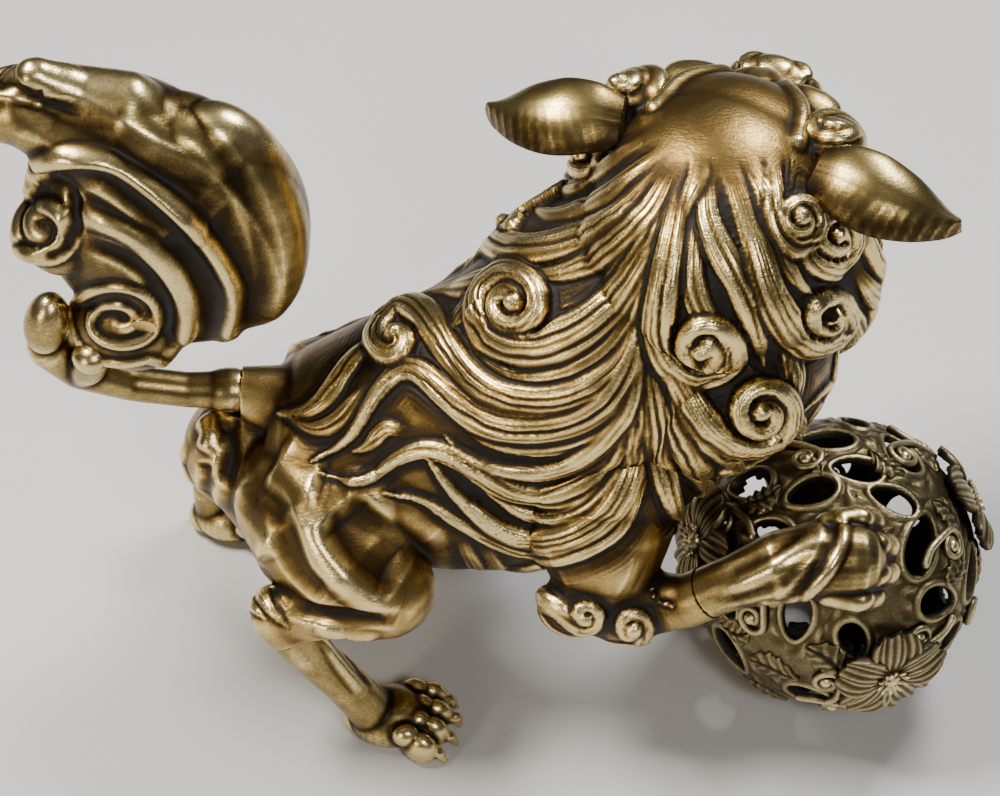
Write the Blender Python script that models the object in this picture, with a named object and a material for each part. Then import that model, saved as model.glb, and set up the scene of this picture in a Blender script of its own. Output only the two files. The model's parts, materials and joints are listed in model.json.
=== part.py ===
"""Cast brass guardian lion (foo dog) that rests one forepaw on an openwork brocade ball.

The lion stands along +X and turns its head to its left, towards +Y. The castings are hollow shells that
butt together over dowels, the tail plugs into a socket in the rump, and the ball turns on a stud under the
right forepaw. Positions are written in millimetres in a modelling frame whose Z = 0 is the table, and the
whole object is shifted so that its origin is the centre of its footprint box.
"""

import math

import bmesh
import bpy
from mathutils import Matrix, Vector

# ---------------------------------------------------------------- driving dimensions, in millimetres
MM = 0.001
GAP = 0.3  # clearance left between pieces that touch
SEAT_GAP = 0.5  # clearance of a casting in the socket formed to its surface
WALL = 4.0  # wall of the hollow castings
VOXEL = 2.2  # grid of the remeshed organic forms
OVERSHOOT = 2.0  # how far a cutter runs past the wall that it cuts
CAP_ANGLES = (35, 65, 83)  # degrees at which the rings of a tube's round end sit
CENTRE_SHIFT = (3.6, -4.5, 0.0)  # moves the modelling origin to the middle of the footprint box

# Spine of the trunk: x, y, z, half width, half height.
TRUNK = [
    (-86, 2, 90, 22, 22),
    (-80, 2, 86, 32, 31),
    (-64, 0, 87, 37, 38),
    (-44, 0, 94, 40, 41),
    (-16, 0, 96, 43, 45),
    (12, 0, 99, 44, 46),
    (36, 0, 108, 40, 42),
    (54, 2, 120, 32, 34),
]
CORE_INSET = 5.0  # how much smaller than a casting's half sizes its core's are
# Limbs are chains of x, y, z, radius. The lion's right side is -Y.
HAUNCH_RIGHT = [(-62, -18, 88, 28), (-57, -31, 88, 27), (-46, -42, 81, 22), (-38, -47, 75, 17)]
SHIN_RIGHT = [(-38, -48, 74, 16), (-56, -50, 69, 13), (-74, -51, 66, 9)]
HAUNCH_LEFT = [(-64, 18, 80, 26), (-70, 34, 66, 23), (-70, 45, 56, 18), (-66, 50, 51, 15)]
SHIN_LEFT = [(-66, 50, 51, 14), (-82, 51, 51, 11), (-97, 50, 53, 9)]
SHOULDER_RIGHT = [(32, -26, 100, 28), (34, -36, 88, 24), (34, -43, 77, 18), (33, -46, 71, 14)]
SHOULDER_LEFT = [(26, 26, 100, 28), (14, 38, 86, 24), (4, 48, 70, 19), (1, 52, 62, 15)]
FOREARM_RIGHT = [
    (33, -46, 71, 14),
    (46, -48, 68, 11.5),
    (62, -52, 74, 8.5),
    (78, -54, 87, 9),
    (92, -54, 94, 12),
]
FOREARM_LEFT = [(1, 52, 62, 15), (12, 55, 44, 12), (22, 57, 26, 10), (27, 59, 12, 9.5)]
SHANK_RIGHT = [(-74, -51, 66, 9), (-66, -52, 50, 8), (-52, -51, 27, 7.5), (-44, -50, 12, 8)]
SHANK_LEFT = [(-97, 50, 53, 9), (-103, 49, 37, 7.5), (-106, 47, 20, 7.5), (-105, 46, 11, 8)]
FLANK = ((-44, -20, 98), (20, 24, 26), (0, 20, 0))  # centre, half axes and turn of the thigh's upper mass
# Hair at the elbows: foot of each tuft, with its side, and the curls under the right elbow.
ELBOW_TUFTS = [(-1, (20, -46, 78)), (1, (-14, 52, 72))]
ELBOW_CURLS = [(25, -54, 66), (40, -55, 63)]
ELBOW_CURL_RADII = (7, 5, 7)
LEG_VOXEL = 1.4
DOWEL_RADIUS = 2.5
DOWEL_REACH = 8.0  # how far a leg dowel runs to each side of its seam
KNEE_CUT = 44.0  # edge of the block that takes the trunk away beyond a leg seam
LEG_CUT = 60.0  # edge of the block that takes the leg's root away
FLOOR_CUT = 120.0  # edge of the block that levels a sole

# A standing paw, before it is placed: instep, and toes whose reach falls towards the outer ones.
INSTEP = ((-2, 0, 8), (15, 12, 10))
TOE_SPREADS = (-1.5, -0.5, 0.5, 1.5)
TOE_PITCH = 7.4
TOE_RADII = (7.5, 4.6, 8.5)
HEEL_LEFT = ((-106, 50, 46), (5, 4, 9))  # the far hind leg's hock
# Standing paws: x, y and heading in degrees from +X.
PAW_FORE_LEFT = (36, 60, 5)
PAW_HIND_RIGHT = (-36, -49, -8)
PAW_HIND_LEFT = (-97, 46, -4)

# Mane: a mass over neck, chest and back, before the trunk, head and ball room are cut from it.
MANE_BACK = [(62, 6, 176, 42), (38, 2, 150, 48), (8, 0, 122, 46), (-24, 0, 108, 42), (-44, 0, 100, 39)]
MANE_MASSES = [
    ((72, 8, 168), (46, 42, 44)), ((66, 0, 142), (46, 46, 40)), ((34, -16, 112), (40, 36, 30)),
    ((66, -1, 187), (43.5, 40.5, 37.5)),
]
MANE_WALL = 8.0  # the locks are part of this wall
NECK_WAY = ((34, 0, 118), (36, 0, 158), 15)  # passage between the trunk's core and the mane's
NECK_DOWEL_AT = (-34, 13, 127)  # foot of the left one of the pair between trunk and mane
NECK_DOWEL_LENGTH = 12.0

# The head's own frame: sideways to its right, forwards, and up, from this point, turned from +Y towards +X.
HEAD_AT = (68, 12, 190)
HEAD_YAW = 21.0
# Centres and half axes of the skull, forehead, upper jaw, nose bridge and nose.
HEAD_MIDDLE = [
    ((0, 0, 9), (37, 36, 30)),
    ((0, 13, 9), (36, 31, 28)),
    ((0, 38, -6), (28, 28, 15)),
    ((0, 30, 12), (14, 26, 14)),
    ((0, 63, 6), (12, 8, 8)),
]
# The same of the pairs, for the right side: brow, cheek, lip and nostril; the outer brow knob is turned.
HEAD_PAIRS = [
    ((18, 35, 20), (13, 9, 7)),
    ((28, 24, -10), (13, 18, 18)),
    ((17, 52, -13), (13, 13, 10)),
    ((11, 60, 2), (7, 7, 6)),
]
BROW_KNOB = ((33, 17, 25), (10, 10, 8.5))
BROW_TURN = 20.0
LOWER_JAW = [(0, 4, -34, 27, 13), (0, 28, -41, 25, 10), (0, 48, -41, 18, 9)]
CHEEK_LOCK = [(34, 2, 4, 14), (40, 10, -18, 16), (39, 13, -42, 14), (31, 14, -60, 11)]
BEARD = [(-20, 20, -52, 12), (0, 28, -56, 13), (20, 20, -52, 12)]
HEAD_CORE = ((0, 4, 7), (30, 30, 22))
HEAD_WAY = ((0, -12, 2), (0, -60, -16), 11)  # passage between the head's core and the mane's
HEAD_DOWEL = ((27, -11, 1), (36, -20, -3))  # ends of the right one of the pair between head and mane
CROWN_AT = (2, -12, 38)  # the crown over the head core's plug
EYE_RADIUS = 7.5
EYE_AT = (20, 41, 12)  # mirrored for the other eye
EAR_ROOT = (31, 0, 27)
# Stations of the ear from its root: outwards, forwards, up, half thickness, half width.
EAR = [
    (1, 0, 0, 4, 8.5),
    (10, -3, 2, 3.4, 12),
    (21, -5, 1, 3.2, 13),
    (32, -4, -2, 2.8, 10.5),
    (41, -1, -6, 2.4, 6),
    (47, 2, -8, 2, 2.2),
]
EAR_FACING = (0, -0.5, 0.85)  # its broad side looks back and up
EAR_TENON_RADIUS = 3.5
EAR_TENON_REACH = (10.0, 8.0)  # how far the tenon runs into the head, and out into the ear

PLUG_RADIUS = 4.0  # of the plugs that close the core's holes in crown and tail
PLUG_LENGTH = 5.0

BALL_AT = (115, -14, 50)
BALL_RADIUS = 50.0
BALL_WALL = 3.0
BALL_TILT = 40.0  # degrees from vertical to -Y of the stud that the ball turns on
BALL_ROOM = 58.0  # radius kept clear around the ball's centre, so that its flowers pass
# Directions on the ball: polar angle from the stud, and azimuth about it from +X.
FLOWERS = {"front": (54, -68), "side": (80, 25), "back": (68, 172)}
STUD_RADIUS = 2.5
STUD_REACH = 9.5  # from the ball's surface into the paw
RIVET_RADIUS = 1.5
# Radius, number of sides, and depth below the shell's inner face of the washer and the nut.
WASHER = (7, 24, 3.0, 1.4)
NUT = (4.6, 6, 7.5, 3.3)
STUD_END = 9.0  # how far the stud runs below the shell's inner face
PALM = [(-8, 0, 10, 13), (-1, 0, 8.5, 12.5)]  # ahead of the stud, aside, off the ball, and radius
PALM_TOES = [(4.5, -11.2), (9, -3.9), (9, 3.9), (4.5, 11.2)]  # ahead of the stud, and to its side
PALM_KNUCKLE = (8, (6.6, 4.9, 6))  # height off the ball and half axes
PALM_TOE = (5, (5.4, 4.3, 5))
KNUCKLE_SETBACK = 6.0

TAIL_AT = (-86, 2, 119)  # mouth of the tail socket in the rump
TAIL_AXIS = (-1, 0, 0.06)
TAIL_TENON = (4.0, 16.0)  # radius and length of the tenon
TAIL_SEAT_RADIUS = 9.5  # of the collar's seat round the socket
TAIL_ROOT = [(-62, 1, 108, 15), (-76, 2, 115, 12), (-87, 2, 119, 9)]
COLLAR = [(-89, 2, 119, 8.5), (-92, 2, 119, 8.5)]
STEM = [(-88, 2, 119, 6.5), (-104, 1, 120, 6), (-122, 0, 124, 6), (-138, -2, 133, 7), (-146, -4, 146, 8)]
STEM_KNOBS = [((-146, -8, 154), 8), ((-130, -14, 150), 7)]
STEM_BRANCH = [(-138, -2, 133, 6.5), (-132, -8, 140, 6), (-129, -12, 148, 6)]
PLUME_PEG = ((-140, -4, 142), (-131, -4, 158), 3.0)  # from the stem up into the plume
PLUME_VENT = ((-110, 0, 178), (-114, -40, 164))  # line of the core's hole
PLUME_LEAN = (0, -12, 0)
PLUME_BODY = ((-102, 0, 196), (44, 24, 51))
PLUME_TIP = [(-98, 0, 214, 25), (-120, 0, 234, 21), (-146, 0, 244, 14), (-170, 0, 242, 8)]
PLUME_CURLS = [((-136, -6, 196), 15), ((-118, -6, 160), 20)]
PLUME_CORE_INSET = 7.0


# ---------------------------------------------------------------- forms
def clear_scene():
    for obj in list(bpy.data.objects):
        bpy.data.objects.remove(obj, do_unlink=True)


def add_ellipsoid(bm, centre, radii, turn=(0, 0, 0), frame=None, segments=24):
    """An ellipsoid of half axes radii, turned by Euler degrees, in the given frame."""
    place = Matrix.Translation(centre)
    for axis, angle in zip("XYZ", turn):
        place = place @ Matrix.Rotation(math.radians(angle), 4, axis)
    place = (frame or Matrix.Identity(4)) @ place @ Matrix.Diagonal((*radii, 1))
    bmesh.ops.create_uvsphere(bm, u_segments=segments, v_segments=segments // 2, radius=1, matrix=place)


def add_loft(bm, stations, frame=None, side_hint=(0, 1, 0), segments=20):
    """A closed tube with round ends through stations of x, y, z and one or two radii (sideways, upwards)."""
    frame = frame or Matrix.Identity(4)
    points = [Vector(s[:3]) for s in stations]
    radii = [(s[3], s[4] if len(s) > 4 else s[3]) for s in stations]
    tangents = [
        (points[min(i + 1, len(points) - 1)] - points[max(i - 1, 0)]).normalized()
        for i in range(len(points))
    ]
    rings = list(zip(points, radii, tangents))
    for end, sign in ((0, -1), (-1, 1)):
        centre, (across, deep), tangent = rings[end]
        reach = min(across, deep)
        caps = [
            (
                centre + tangent * sign * reach * math.sin(math.radians(a)),
                (across * math.cos(math.radians(a)), deep * math.cos(math.radians(a))),
                tangent,
            )
            for a in CAP_ANGLES
        ]
        rings = (caps[::-1] + rings) if end == 0 else (rings + caps)
    loops = []
    for centre, (across, deep), tangent in rings:
        side = Vector(side_hint) - tangent * tangent.dot(Vector(side_hint))
        side.normalize()
        rise = tangent.cross(side)
        loops.append(
            [
                bm.verts.new(
                    frame
                    @ (
                        centre
                        + side * across * math.cos(2 * math.pi * k / segments)
                        + rise * deep * math.sin(2 * math.pi * k / segments)
                    )
                )
                for k in range(segments)
            ]
        )
    for a, b in zip(loops, loops[1:]):
        for k in range(segments):
            n = (k + 1) % segments
            bm.faces.new((a[k], a[n], b[n], b[k]))
    bm.faces.new(loops[0][::-1])
    bm.faces.new(loops[-1])


def mesh_from(bm, name):
    """The bmesh as a mesh datablock in metres, in the object's shifted frame."""
    shift = Matrix.Translation(Vector(CENTRE_SHIFT) * MM) @ Matrix.Scale(MM, 4)
    bmesh.ops.transform(bm, matrix=shift, verts=bm.verts)
    bmesh.ops.recalc_face_normals(bm, faces=bm.faces)
    mesh = bpy.data.meshes.new(name)
    bm.to_mesh(mesh)
    bm.free()
    return mesh


def evaluated(obj, name):
    """A new mesh holding the object as its modifiers leave it; the object itself is removed."""
    bpy.context.view_layer.update()
    graph = bpy.context.evaluated_depsgraph_get()
    mesh = bpy.data.meshes.new_from_object(obj.evaluated_get(graph))
    mesh.name = name
    bpy.data.objects.remove(obj, do_unlink=True)
    return mesh


def as_object(mesh, name):
    obj = bpy.data.objects.new(name, mesh)
    bpy.context.scene.collection.objects.link(obj)
    return obj


def organic(name, build, triangles, voxel=VOXEL, smooth=6):
    """Fuses overlapping forms into one skin of about that many triangles."""
    bm = bmesh.new()
    build(bm)
    obj = as_object(mesh_from(bm, name), name)
    remesh = obj.modifiers.new("fuse", "REMESH")
    remesh.mode = "VOXEL"
    remesh.voxel_size = voxel * MM
    relax = obj.modifiers.new("relax", "SMOOTH")
    relax.iterations = smooth
    mesh = evaluated(obj, name)
    obj = as_object(mesh, name)
    thin = obj.modifiers.new("thin", "DECIMATE")
    thin.ratio = min(1.0, triangles / max(1, 2 * len(mesh.polygons)))
    return largest_shell(evaluated(obj, name))


def largest_shell(mesh):
    """Keeps the connected shell with the most faces and drops scraps left by a cut."""
    bm = bmesh.new()
    bm.from_mesh(mesh)
    unseen = set(bm.verts)
    shells = []
    while unseen:
        stack = [unseen.pop()]
        shell = set(stack)
        while stack:
            for edge in stack.pop().link_edges:
                for vert in edge.verts:
                    if vert in unseen:
                        unseen.discard(vert)
                        shell.add(vert)
                        stack.append(vert)
        shells.append(shell)
    keep = max(shells, key=len)
    bmesh.ops.delete(bm, geom=[v for v in bm.verts if v not in keep], context="VERTS")
    bm.to_mesh(mesh)
    bm.free()
    return mesh


def grown(mesh, distance):
    """A copy of the mesh whose surface is moved outwards by distance, in millimetres."""
    obj = as_object(mesh.copy(), mesh.name + "_grown")
    push = obj.modifiers.new("push", "DISPLACE")
    push.mid_level = 0
    push.strength = distance * MM
    return evaluated(obj, mesh.name + "_grown")


def combine(mesh, other, operation):
    """Boolean of two closed meshes, applied."""
    obj = as_object(mesh, mesh.name)
    helper = as_object(other, "helper")
    helper.hide_render = True
    cut = obj.modifiers.new("cut", "BOOLEAN")
    cut.operation = operation
    cut.object = helper
    result = evaluated(obj, mesh.name)
    bpy.data.objects.remove(helper, do_unlink=True)
    return result


def minus(mesh, *others):
    for other in others:
        mesh = combine(mesh, other, "DIFFERENCE")
    return mesh


def rod(start, end, radius, segments=12):
    """A closed cylinder between two points, in millimetres."""
    start, end = Vector(start), Vector(end)
    axis = end - start
    bm = bmesh.new()
    place = Matrix.Translation((start + end) / 2) @ axis.to_track_quat("Z", "Y").to_matrix().to_4x4()
    size = {"radius1": radius, "radius2": radius, "depth": axis.length}
    bmesh.ops.create_cone(bm, cap_ends=True, segments=segments, matrix=place, **size)
    return mesh_from(bm, "rod")


def slab(corner, normal, size=160.0):
    """A large block that fills the side of a plane its normal points to."""
    normal = Vector(normal).normalized()
    bm = bmesh.new()
    place = (
        Matrix.Translation(Vector(corner) + normal * size / 2)
        @ normal.to_track_quat("Z", "Y").to_matrix().to_4x4()
        @ Matrix.Diagonal((size, size, size, 1))
    )
    bmesh.ops.create_cube(bm, size=1, matrix=place)
    return mesh_from(bm, "slab")


# ---------------------------------------------------------------- shared placing
def head_frame():
    return Matrix.Translation(HEAD_AT) @ Matrix.Rotation(math.radians(-HEAD_YAW), 4, "Z")


def stud_direction():
    tilt = math.radians(BALL_TILT)
    return Vector((0, -math.sin(tilt), math.cos(tilt)))


def ball_frame(polar=0.0, azimuth=0.0):
    """Frame at the ball's centre whose z axis points at that place on the ball."""
    lean = Matrix.Rotation(math.radians(BALL_TILT), 4, "X")
    spin = Matrix.Rotation(math.radians(azimuth), 4, "Z") @ Matrix.Rotation(math.radians(polar), 4, "Y")
    return Matrix.Translation(BALL_AT) @ lean @ spin


def on_ball(polar, azimuth, height):
    return ball_frame(polar, azimuth) @ Vector((0, 0, BALL_RADIUS + height))


def in_mm(build, name="form"):
    bm = bmesh.new()
    build(bm)
    return mesh_from(bm, name)


def ball_solid(radius, segments=32):
    def build(bm):
        place = ball_frame() @ Matrix.Scale(radius, 4)
        bmesh.ops.create_uvsphere(bm, u_segments=segments, v_segments=segments // 2, radius=1, matrix=place)

    return in_mm(build, "ball_solid")


def inset(chain, amount):
    """The same chain with its half sizes made smaller."""
    return [(*s[:3], *(r - amount for r in s[3:])) for s in chain]


# ---------------------------------------------------------------- the castings' outer forms
def build_trunk(bm):
    add_loft(bm, TRUNK, segments=28)
    for limb in (HAUNCH_RIGHT, SHIN_RIGHT, HAUNCH_LEFT, SHIN_LEFT, SHOULDER_RIGHT, SHOULDER_LEFT):
        add_loft(bm, limb)
    add_loft(bm, FOREARM_RIGHT[:4])
    add_loft(bm, FOREARM_LEFT[:3])
    add_loft(bm, SHANK_RIGHT[:3])
    add_loft(bm, SHANK_LEFT[:3])
    add_loft(bm, TAIL_ROOT)
    centre, radii, turn = FLANK
    add_ellipsoid(bm, centre, radii, turn=turn)
    for side, (x, y, z) in ELBOW_TUFTS:
        add_loft(bm, [(x + 8, y, z, 6), (x - 6, y, z + 6, 5), (x - 24, y + side, z + 14, 2.2)])
    for place in ELBOW_CURLS:
        add_ellipsoid(bm, place, ELBOW_CURL_RADII)


def build_mane(bm):
    add_loft(bm, MANE_BACK, segments=28)
    for centre, radii in MANE_MASSES:
        add_ellipsoid(bm, centre, radii)
    # Locks that frame the face.
    frame = head_frame()
    for side in (-1, 1):
        add_loft(bm, [(side * x, y, z, radius) for x, y, z, radius in CHEEK_LOCK], frame)
    add_loft(bm, BEARD, frame, side_hint=(0, 0, 1))


def build_head(bm):
    frame = head_frame()
    for centre, radii in HEAD_MIDDLE:
        add_ellipsoid(bm, centre, radii, frame=frame)
    for side in (-1, 1):
        (x, y, z), radii = BROW_KNOB
        add_ellipsoid(bm, (side * x, y, z), radii, turn=(0, side * BROW_TURN, 0), frame=frame)
        for (x, y, z), radii in HEAD_PAIRS:
            add_ellipsoid(bm, (side * x, y, z), radii, frame=frame)
    # Lower jaw under the open mouth.
    add_loft(bm, LOWER_JAW, frame, side_hint=(1, 0, 0))


def over_ball(ahead, side, height):
    """A point that far ahead of the stud, to its side, and off the ball's surface."""
    place = Vector((ahead, side, BALL_RADIUS)).normalized() * (BALL_RADIUS + height)
    return ball_frame(0, 0) @ place


def build_foreleg_right(bm):
    add_loft(bm, FOREARM_RIGHT)
    palm = [(*over_ball(ahead, side, height), radius) for ahead, side, height, radius in PALM]
    add_loft(bm, [FOREARM_RIGHT[-1], *palm])
    for ahead, side in PALM_TOES:
        height, radii = PALM_KNUCKLE
        add_ellipsoid(bm, over_ball(ahead - KNUCKLE_SETBACK, side * 0.92, height), radii)
        height, radii = PALM_TOE
        add_ellipsoid(bm, over_ball(ahead, side, height), radii)


def add_paw(bm, x, y, heading):
    """A standing paw: instep and four toes, pointing along heading degrees from +X."""
    frame = Matrix.Translation((x, y, 0)) @ Matrix.Rotation(math.radians(heading), 4, "Z")
    centre, radii = INSTEP
    add_ellipsoid(bm, centre, radii, frame=frame)
    for spread in TOE_SPREADS:
        place = (13 - 1.4 * spread**2, spread * TOE_PITCH, 7)
        add_ellipsoid(bm, place, TOE_RADII, turn=(0, 0, spread * 9), frame=frame)


def build_foreleg_left(bm):
    add_loft(bm, FOREARM_LEFT)
    add_paw(bm, *PAW_FORE_LEFT)


def build_hindleg_right(bm):
    add_loft(bm, SHANK_RIGHT)
    add_paw(bm, *PAW_HIND_RIGHT)


def build_hindleg_left(bm):
    add_loft(bm, SHANK_LEFT)
    add_paw(bm, *PAW_HIND_LEFT)
    centre, radii = HEEL_LEFT
    add_ellipsoid(bm, centre, radii)


def build_ear(bm, side):
    """A leaf shaped ear that points sideways and down to its tip."""
    x, y, z = EAR_ROOT
    stations = [(side * (x + out), y + ahead, z + up, *radii) for out, ahead, up, *radii in EAR]
    add_loft(bm, stations, head_frame(), side_hint=EAR_FACING)


def build_plume(bm):
    centre, radii = PLUME_BODY
    add_ellipsoid(bm, centre, radii, turn=PLUME_LEAN)
    add_loft(bm, PLUME_TIP)
    for place, radius in PLUME_CURLS:
        add_ellipsoid(bm, place, (radius, radius * 0.8, radius))


def build_stem(bm):
    add_loft(bm, STEM)
    add_loft(bm, COLLAR)
    for place, radius in STEM_KNOBS:
        add_ellipsoid(bm, place, (radius,) * 3)
    add_loft(bm, STEM_BRANCH)


# ---------------------------------------------------------------- seams
def dowel_between(start, end):
    """The clearance hole and the dowel between two points."""
    slack = (end - start).normalized() * GAP
    return rod(start - slack, end + slack, DOWEL_RADIUS + GAP), rod(start, end, DOWEL_RADIUS)


def cut_at(mesh, point, direction, size):
    """Removes what lies on the side of the plane that direction points to, within a block of that size."""
    return minus(mesh, slab(point, direction, size))


def seam_between(chain, index, share=0.5):
    """A point on the limb's axis between two stations, and the direction along it."""
    a, b = Vector(chain[index][:3]), Vector(chain[index + 1][:3])
    return a.lerp(b, share), (b - a).normalized()


# name, chain, station before the seam, share of the way to the next one, builder, triangles
LEGS = [
    ("foreleg_right", FOREARM_RIGHT, 2, 0.4, build_foreleg_right, 640),
    ("foreleg_left", FOREARM_LEFT, 0, 0.6, build_foreleg_left, 380),
    ("hindleg_right", SHANK_RIGHT, 0, 0.45, build_hindleg_right, 380),
    ("hindleg_left", SHANK_LEFT, 0, 0.45, build_hindleg_left, 380),
]


def add_legs(trunk):
    """Cuts the trunk at the four leg seams and adds each leg casting with its dowel."""
    for name, chain, index, share, build, triangles in LEGS:
        point, along = seam_between(chain, index, share)
        hole, dowel = dowel_between(point - along * DOWEL_REACH, point + along * DOWEL_REACH)
        trunk = cut_at(trunk, point, along, KNEE_CUT)
        trunk = minus(trunk, hole.copy())
        leg = organic(name, build, triangles, voxel=LEG_VOXEL, smooth=4)
        leg = cut_at(leg, point + along * GAP, -along, LEG_CUT)
        leg = minus(leg, hole)
        if name == "foreleg_right":
            leg = minus(leg, ball_solid(BALL_RADIUS + GAP, 44))
            bore_end = on_ball(0, 0, STUD_REACH + 0.5 + GAP)
            leg = minus(leg, rod(on_ball(0, 0, -OVERSHOOT), bore_end, STUD_RADIUS + GAP))
        else:
            leg = cut_at(leg, (point.x, point.y, 0), (0, 0, -1), FLOOR_CUT)
        finish(leg, name + "_lower", BRASS)
        finish(dowel, "dowel_" + name, PIN_BRASS)
    return trunk


# ---------------------------------------------------------------- materials and placing of finished pieces
# name: colour, roughness
BRASS = ("polished_brass", (0.66, 0.47, 0.2), 0.26)
DARK_BRASS = ("patinated_brass", (0.42, 0.31, 0.15), 0.36)
PALE_BRASS = ("pale_brass", (0.52, 0.44, 0.29), 0.34)
PIN_BRASS = ("drawn_brass", (0.72, 0.56, 0.28), 0.3)
EYE_BRASS = ("dark_eye_brass", (0.16, 0.12, 0.07), 0.2)


def finish(mesh, name, look, origin=(0, 0, 0)):
    """Links a finished piece with smooth shading, its own material, and its origin at that point."""
    mesh = largest_shell(mesh)
    mesh.name = name
    home = (Vector(origin) + Vector(CENTRE_SHIFT)) * MM
    mesh.transform(Matrix.Translation(-home))
    obj = as_object(mesh, name)
    obj.location = home
    mesh.shade_smooth()
    mesh.set_sharp_from_angle(angle=math.radians(50))
    _, colour, roughness = look
    material = bpy.data.materials.new(name + "_" + look[0])
    material.use_nodes = True
    shader = material.node_tree.nodes["Principled BSDF"]
    shader.inputs["Base Color"].default_value = (*colour, 1)
    shader.inputs["Metallic"].default_value = 1.0
    shader.inputs["Roughness"].default_value = roughness
    mesh.materials.clear()
    mesh.materials.append(material)
    return obj


# ---------------------------------------------------------------- assemblies
def add_trunk_core(bm):
    add_loft(bm, inset(TRUNK[2:], CORE_INSET), segments=24)
    for limb in (HAUNCH_RIGHT, HAUNCH_LEFT, SHOULDER_RIGHT, SHOULDER_LEFT):
        add_loft(bm, inset(limb[:3], CORE_INSET))


def add_mane_core(bm):
    add_loft(bm, inset(MANE_BACK[:3], MANE_WALL), segments=24)
    for centre, radii in MANE_MASSES[:2]:
        add_ellipsoid(bm, centre, [r - MANE_WALL for r in radii])


def add_plume_core(bm):
    centre, radii = PLUME_BODY
    add_ellipsoid(bm, centre, [r - PLUME_CORE_INSET for r in radii], turn=PLUME_LEAN)
    add_loft(bm, inset(PLUME_TIP[:3], PLUME_CORE_INSET))


def pin_pair(castings, place_of, name):
    """Bores both castings for a dowel on each side, between the ends that place_of gives, and adds it."""
    for side, label in ((-1, "left"), (1, "right")):
        hole, dowel = dowel_between(*place_of(side))
        castings = [minus(casting, hole.copy()) for casting in castings]
        finish(dowel, f"dowel_{name}_{label}", PIN_BRASS)
    return castings


def add_eye(head, side, label):
    """Seats an eye in the head."""
    x, y, z = EYE_AT

    def bead(radius):
        place = (side * x, y, z)
        return in_mm(lambda bm: add_ellipsoid(bm, place, (radius,) * 3, frame=head_frame(), segments=14))

    finish(bead(EYE_RADIUS), "eye_" + label, EYE_BRASS)
    return minus(head, bead(EYE_RADIUS + GAP))


def add_ear(head, mane, head_skin, side, label):
    """Seats an ear in the head by its tenon and clears the mane round it."""
    frame = head_frame()
    into, out = EAR_TENON_REACH
    root = Vector(EAR_ROOT)
    root.x *= side
    inner = frame @ (root - Vector((side * into, 0, 2)))
    ear_skin = organic("ear", lambda bm: build_ear(bm, side), 240, voxel=1.2, smooth=2)
    ear = minus(ear_skin.copy(), grown(head_skin, SEAT_GAP))
    tenon = rod(inner, frame @ (root + Vector((side * out, -1, 1))), EAR_TENON_RADIUS)
    finish(combine(ear, tenon, "UNION"), "ear_" + label, BRASS)
    deeper = inner - frame.to_3x3() @ Vector((side * OVERSHOOT, 0, 0))
    mouth = frame @ (root + Vector((side * (out + 6), -1, 1)))
    head = minus(head, rod(deeper, mouth, EAR_TENON_RADIUS + GAP))
    return head, minus(mane, grown(ear_skin, SEAT_GAP))


def make_body():
    frame = head_frame()
    trunk_skin = organic("trunk", build_trunk, 1400)
    head_skin = organic("head", build_head, 950, voxel=1.8)
    trunk_core = organic("trunk_core", add_trunk_core, 320, voxel=3.5)
    mane_core = organic("mane_core", add_mane_core, 260, voxel=4)

    trunk = add_legs(trunk_skin.copy())
    trunk = minus(trunk, trunk_core, rod(*NECK_WAY), grown(head_skin, SEAT_GAP), ball_solid(BALL_ROOM))
    axis = Vector(TAIL_AXIS).normalized()
    mouth = Vector(TAIL_AT)
    radius, length = TAIL_TENON
    socket = rod(mouth - axis * (length + GAP), mouth + axis * 12, radius + GAP)
    seat = rod(mouth - axis * GAP, mouth + axis * 16, TAIL_SEAT_RADIUS)
    trunk = minus(trunk, socket, seat)

    mane = organic("mane", build_mane, 1000)
    seats = [grown(skin, SEAT_GAP) for skin in (trunk_skin, head_skin)]
    mane = minus(mane, *seats, mane_core, ball_solid(BALL_ROOM))

    centre, radii = HEAD_CORE
    head_core = in_mm(lambda bm: add_ellipsoid(bm, centre, radii, frame=frame, segments=16))
    start, end, radius = HEAD_WAY
    head_way = rod(frame @ Vector(start), frame @ Vector(end), radius)
    crown = frame @ Vector(CROWN_AT)
    up = Vector((0, 0, 1))
    crown_hole = rod(crown - up * 12, crown + up * 6, PLUG_RADIUS + GAP)
    head = minus(head_skin.copy(), head_core, head_way, crown_hole)
    plug_top = crown - up * OVERSHOOT
    finish(rod(plug_top - up * PLUG_LENGTH, plug_top, PLUG_RADIUS), "core_plug_crown", DARK_BRASS)

    x, y, z = NECK_DOWEL_AT
    trunk, mane = pin_pair(
        [trunk, mane],
        lambda side: (Vector((x, -side * y, z)), Vector((x, -side * y, z + NECK_DOWEL_LENGTH))),
        "neck",
    )
    head, mane = pin_pair(
        [head, mane],
        lambda side: [frame @ Vector((side * px, py, pz)) for px, py, pz in HEAD_DOWEL],
        "head",
    )
    for side, label in ((-1, "left"), (1, "right")):
        head = add_eye(head, side, label)
        head, mane = add_ear(head, mane, head_skin, side, label)
    finish(trunk, "torso_casting", BRASS)
    finish(mane, "mane_and_neck_casting", DARK_BRASS)
    finish(head, "head_casting", BRASS)


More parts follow.
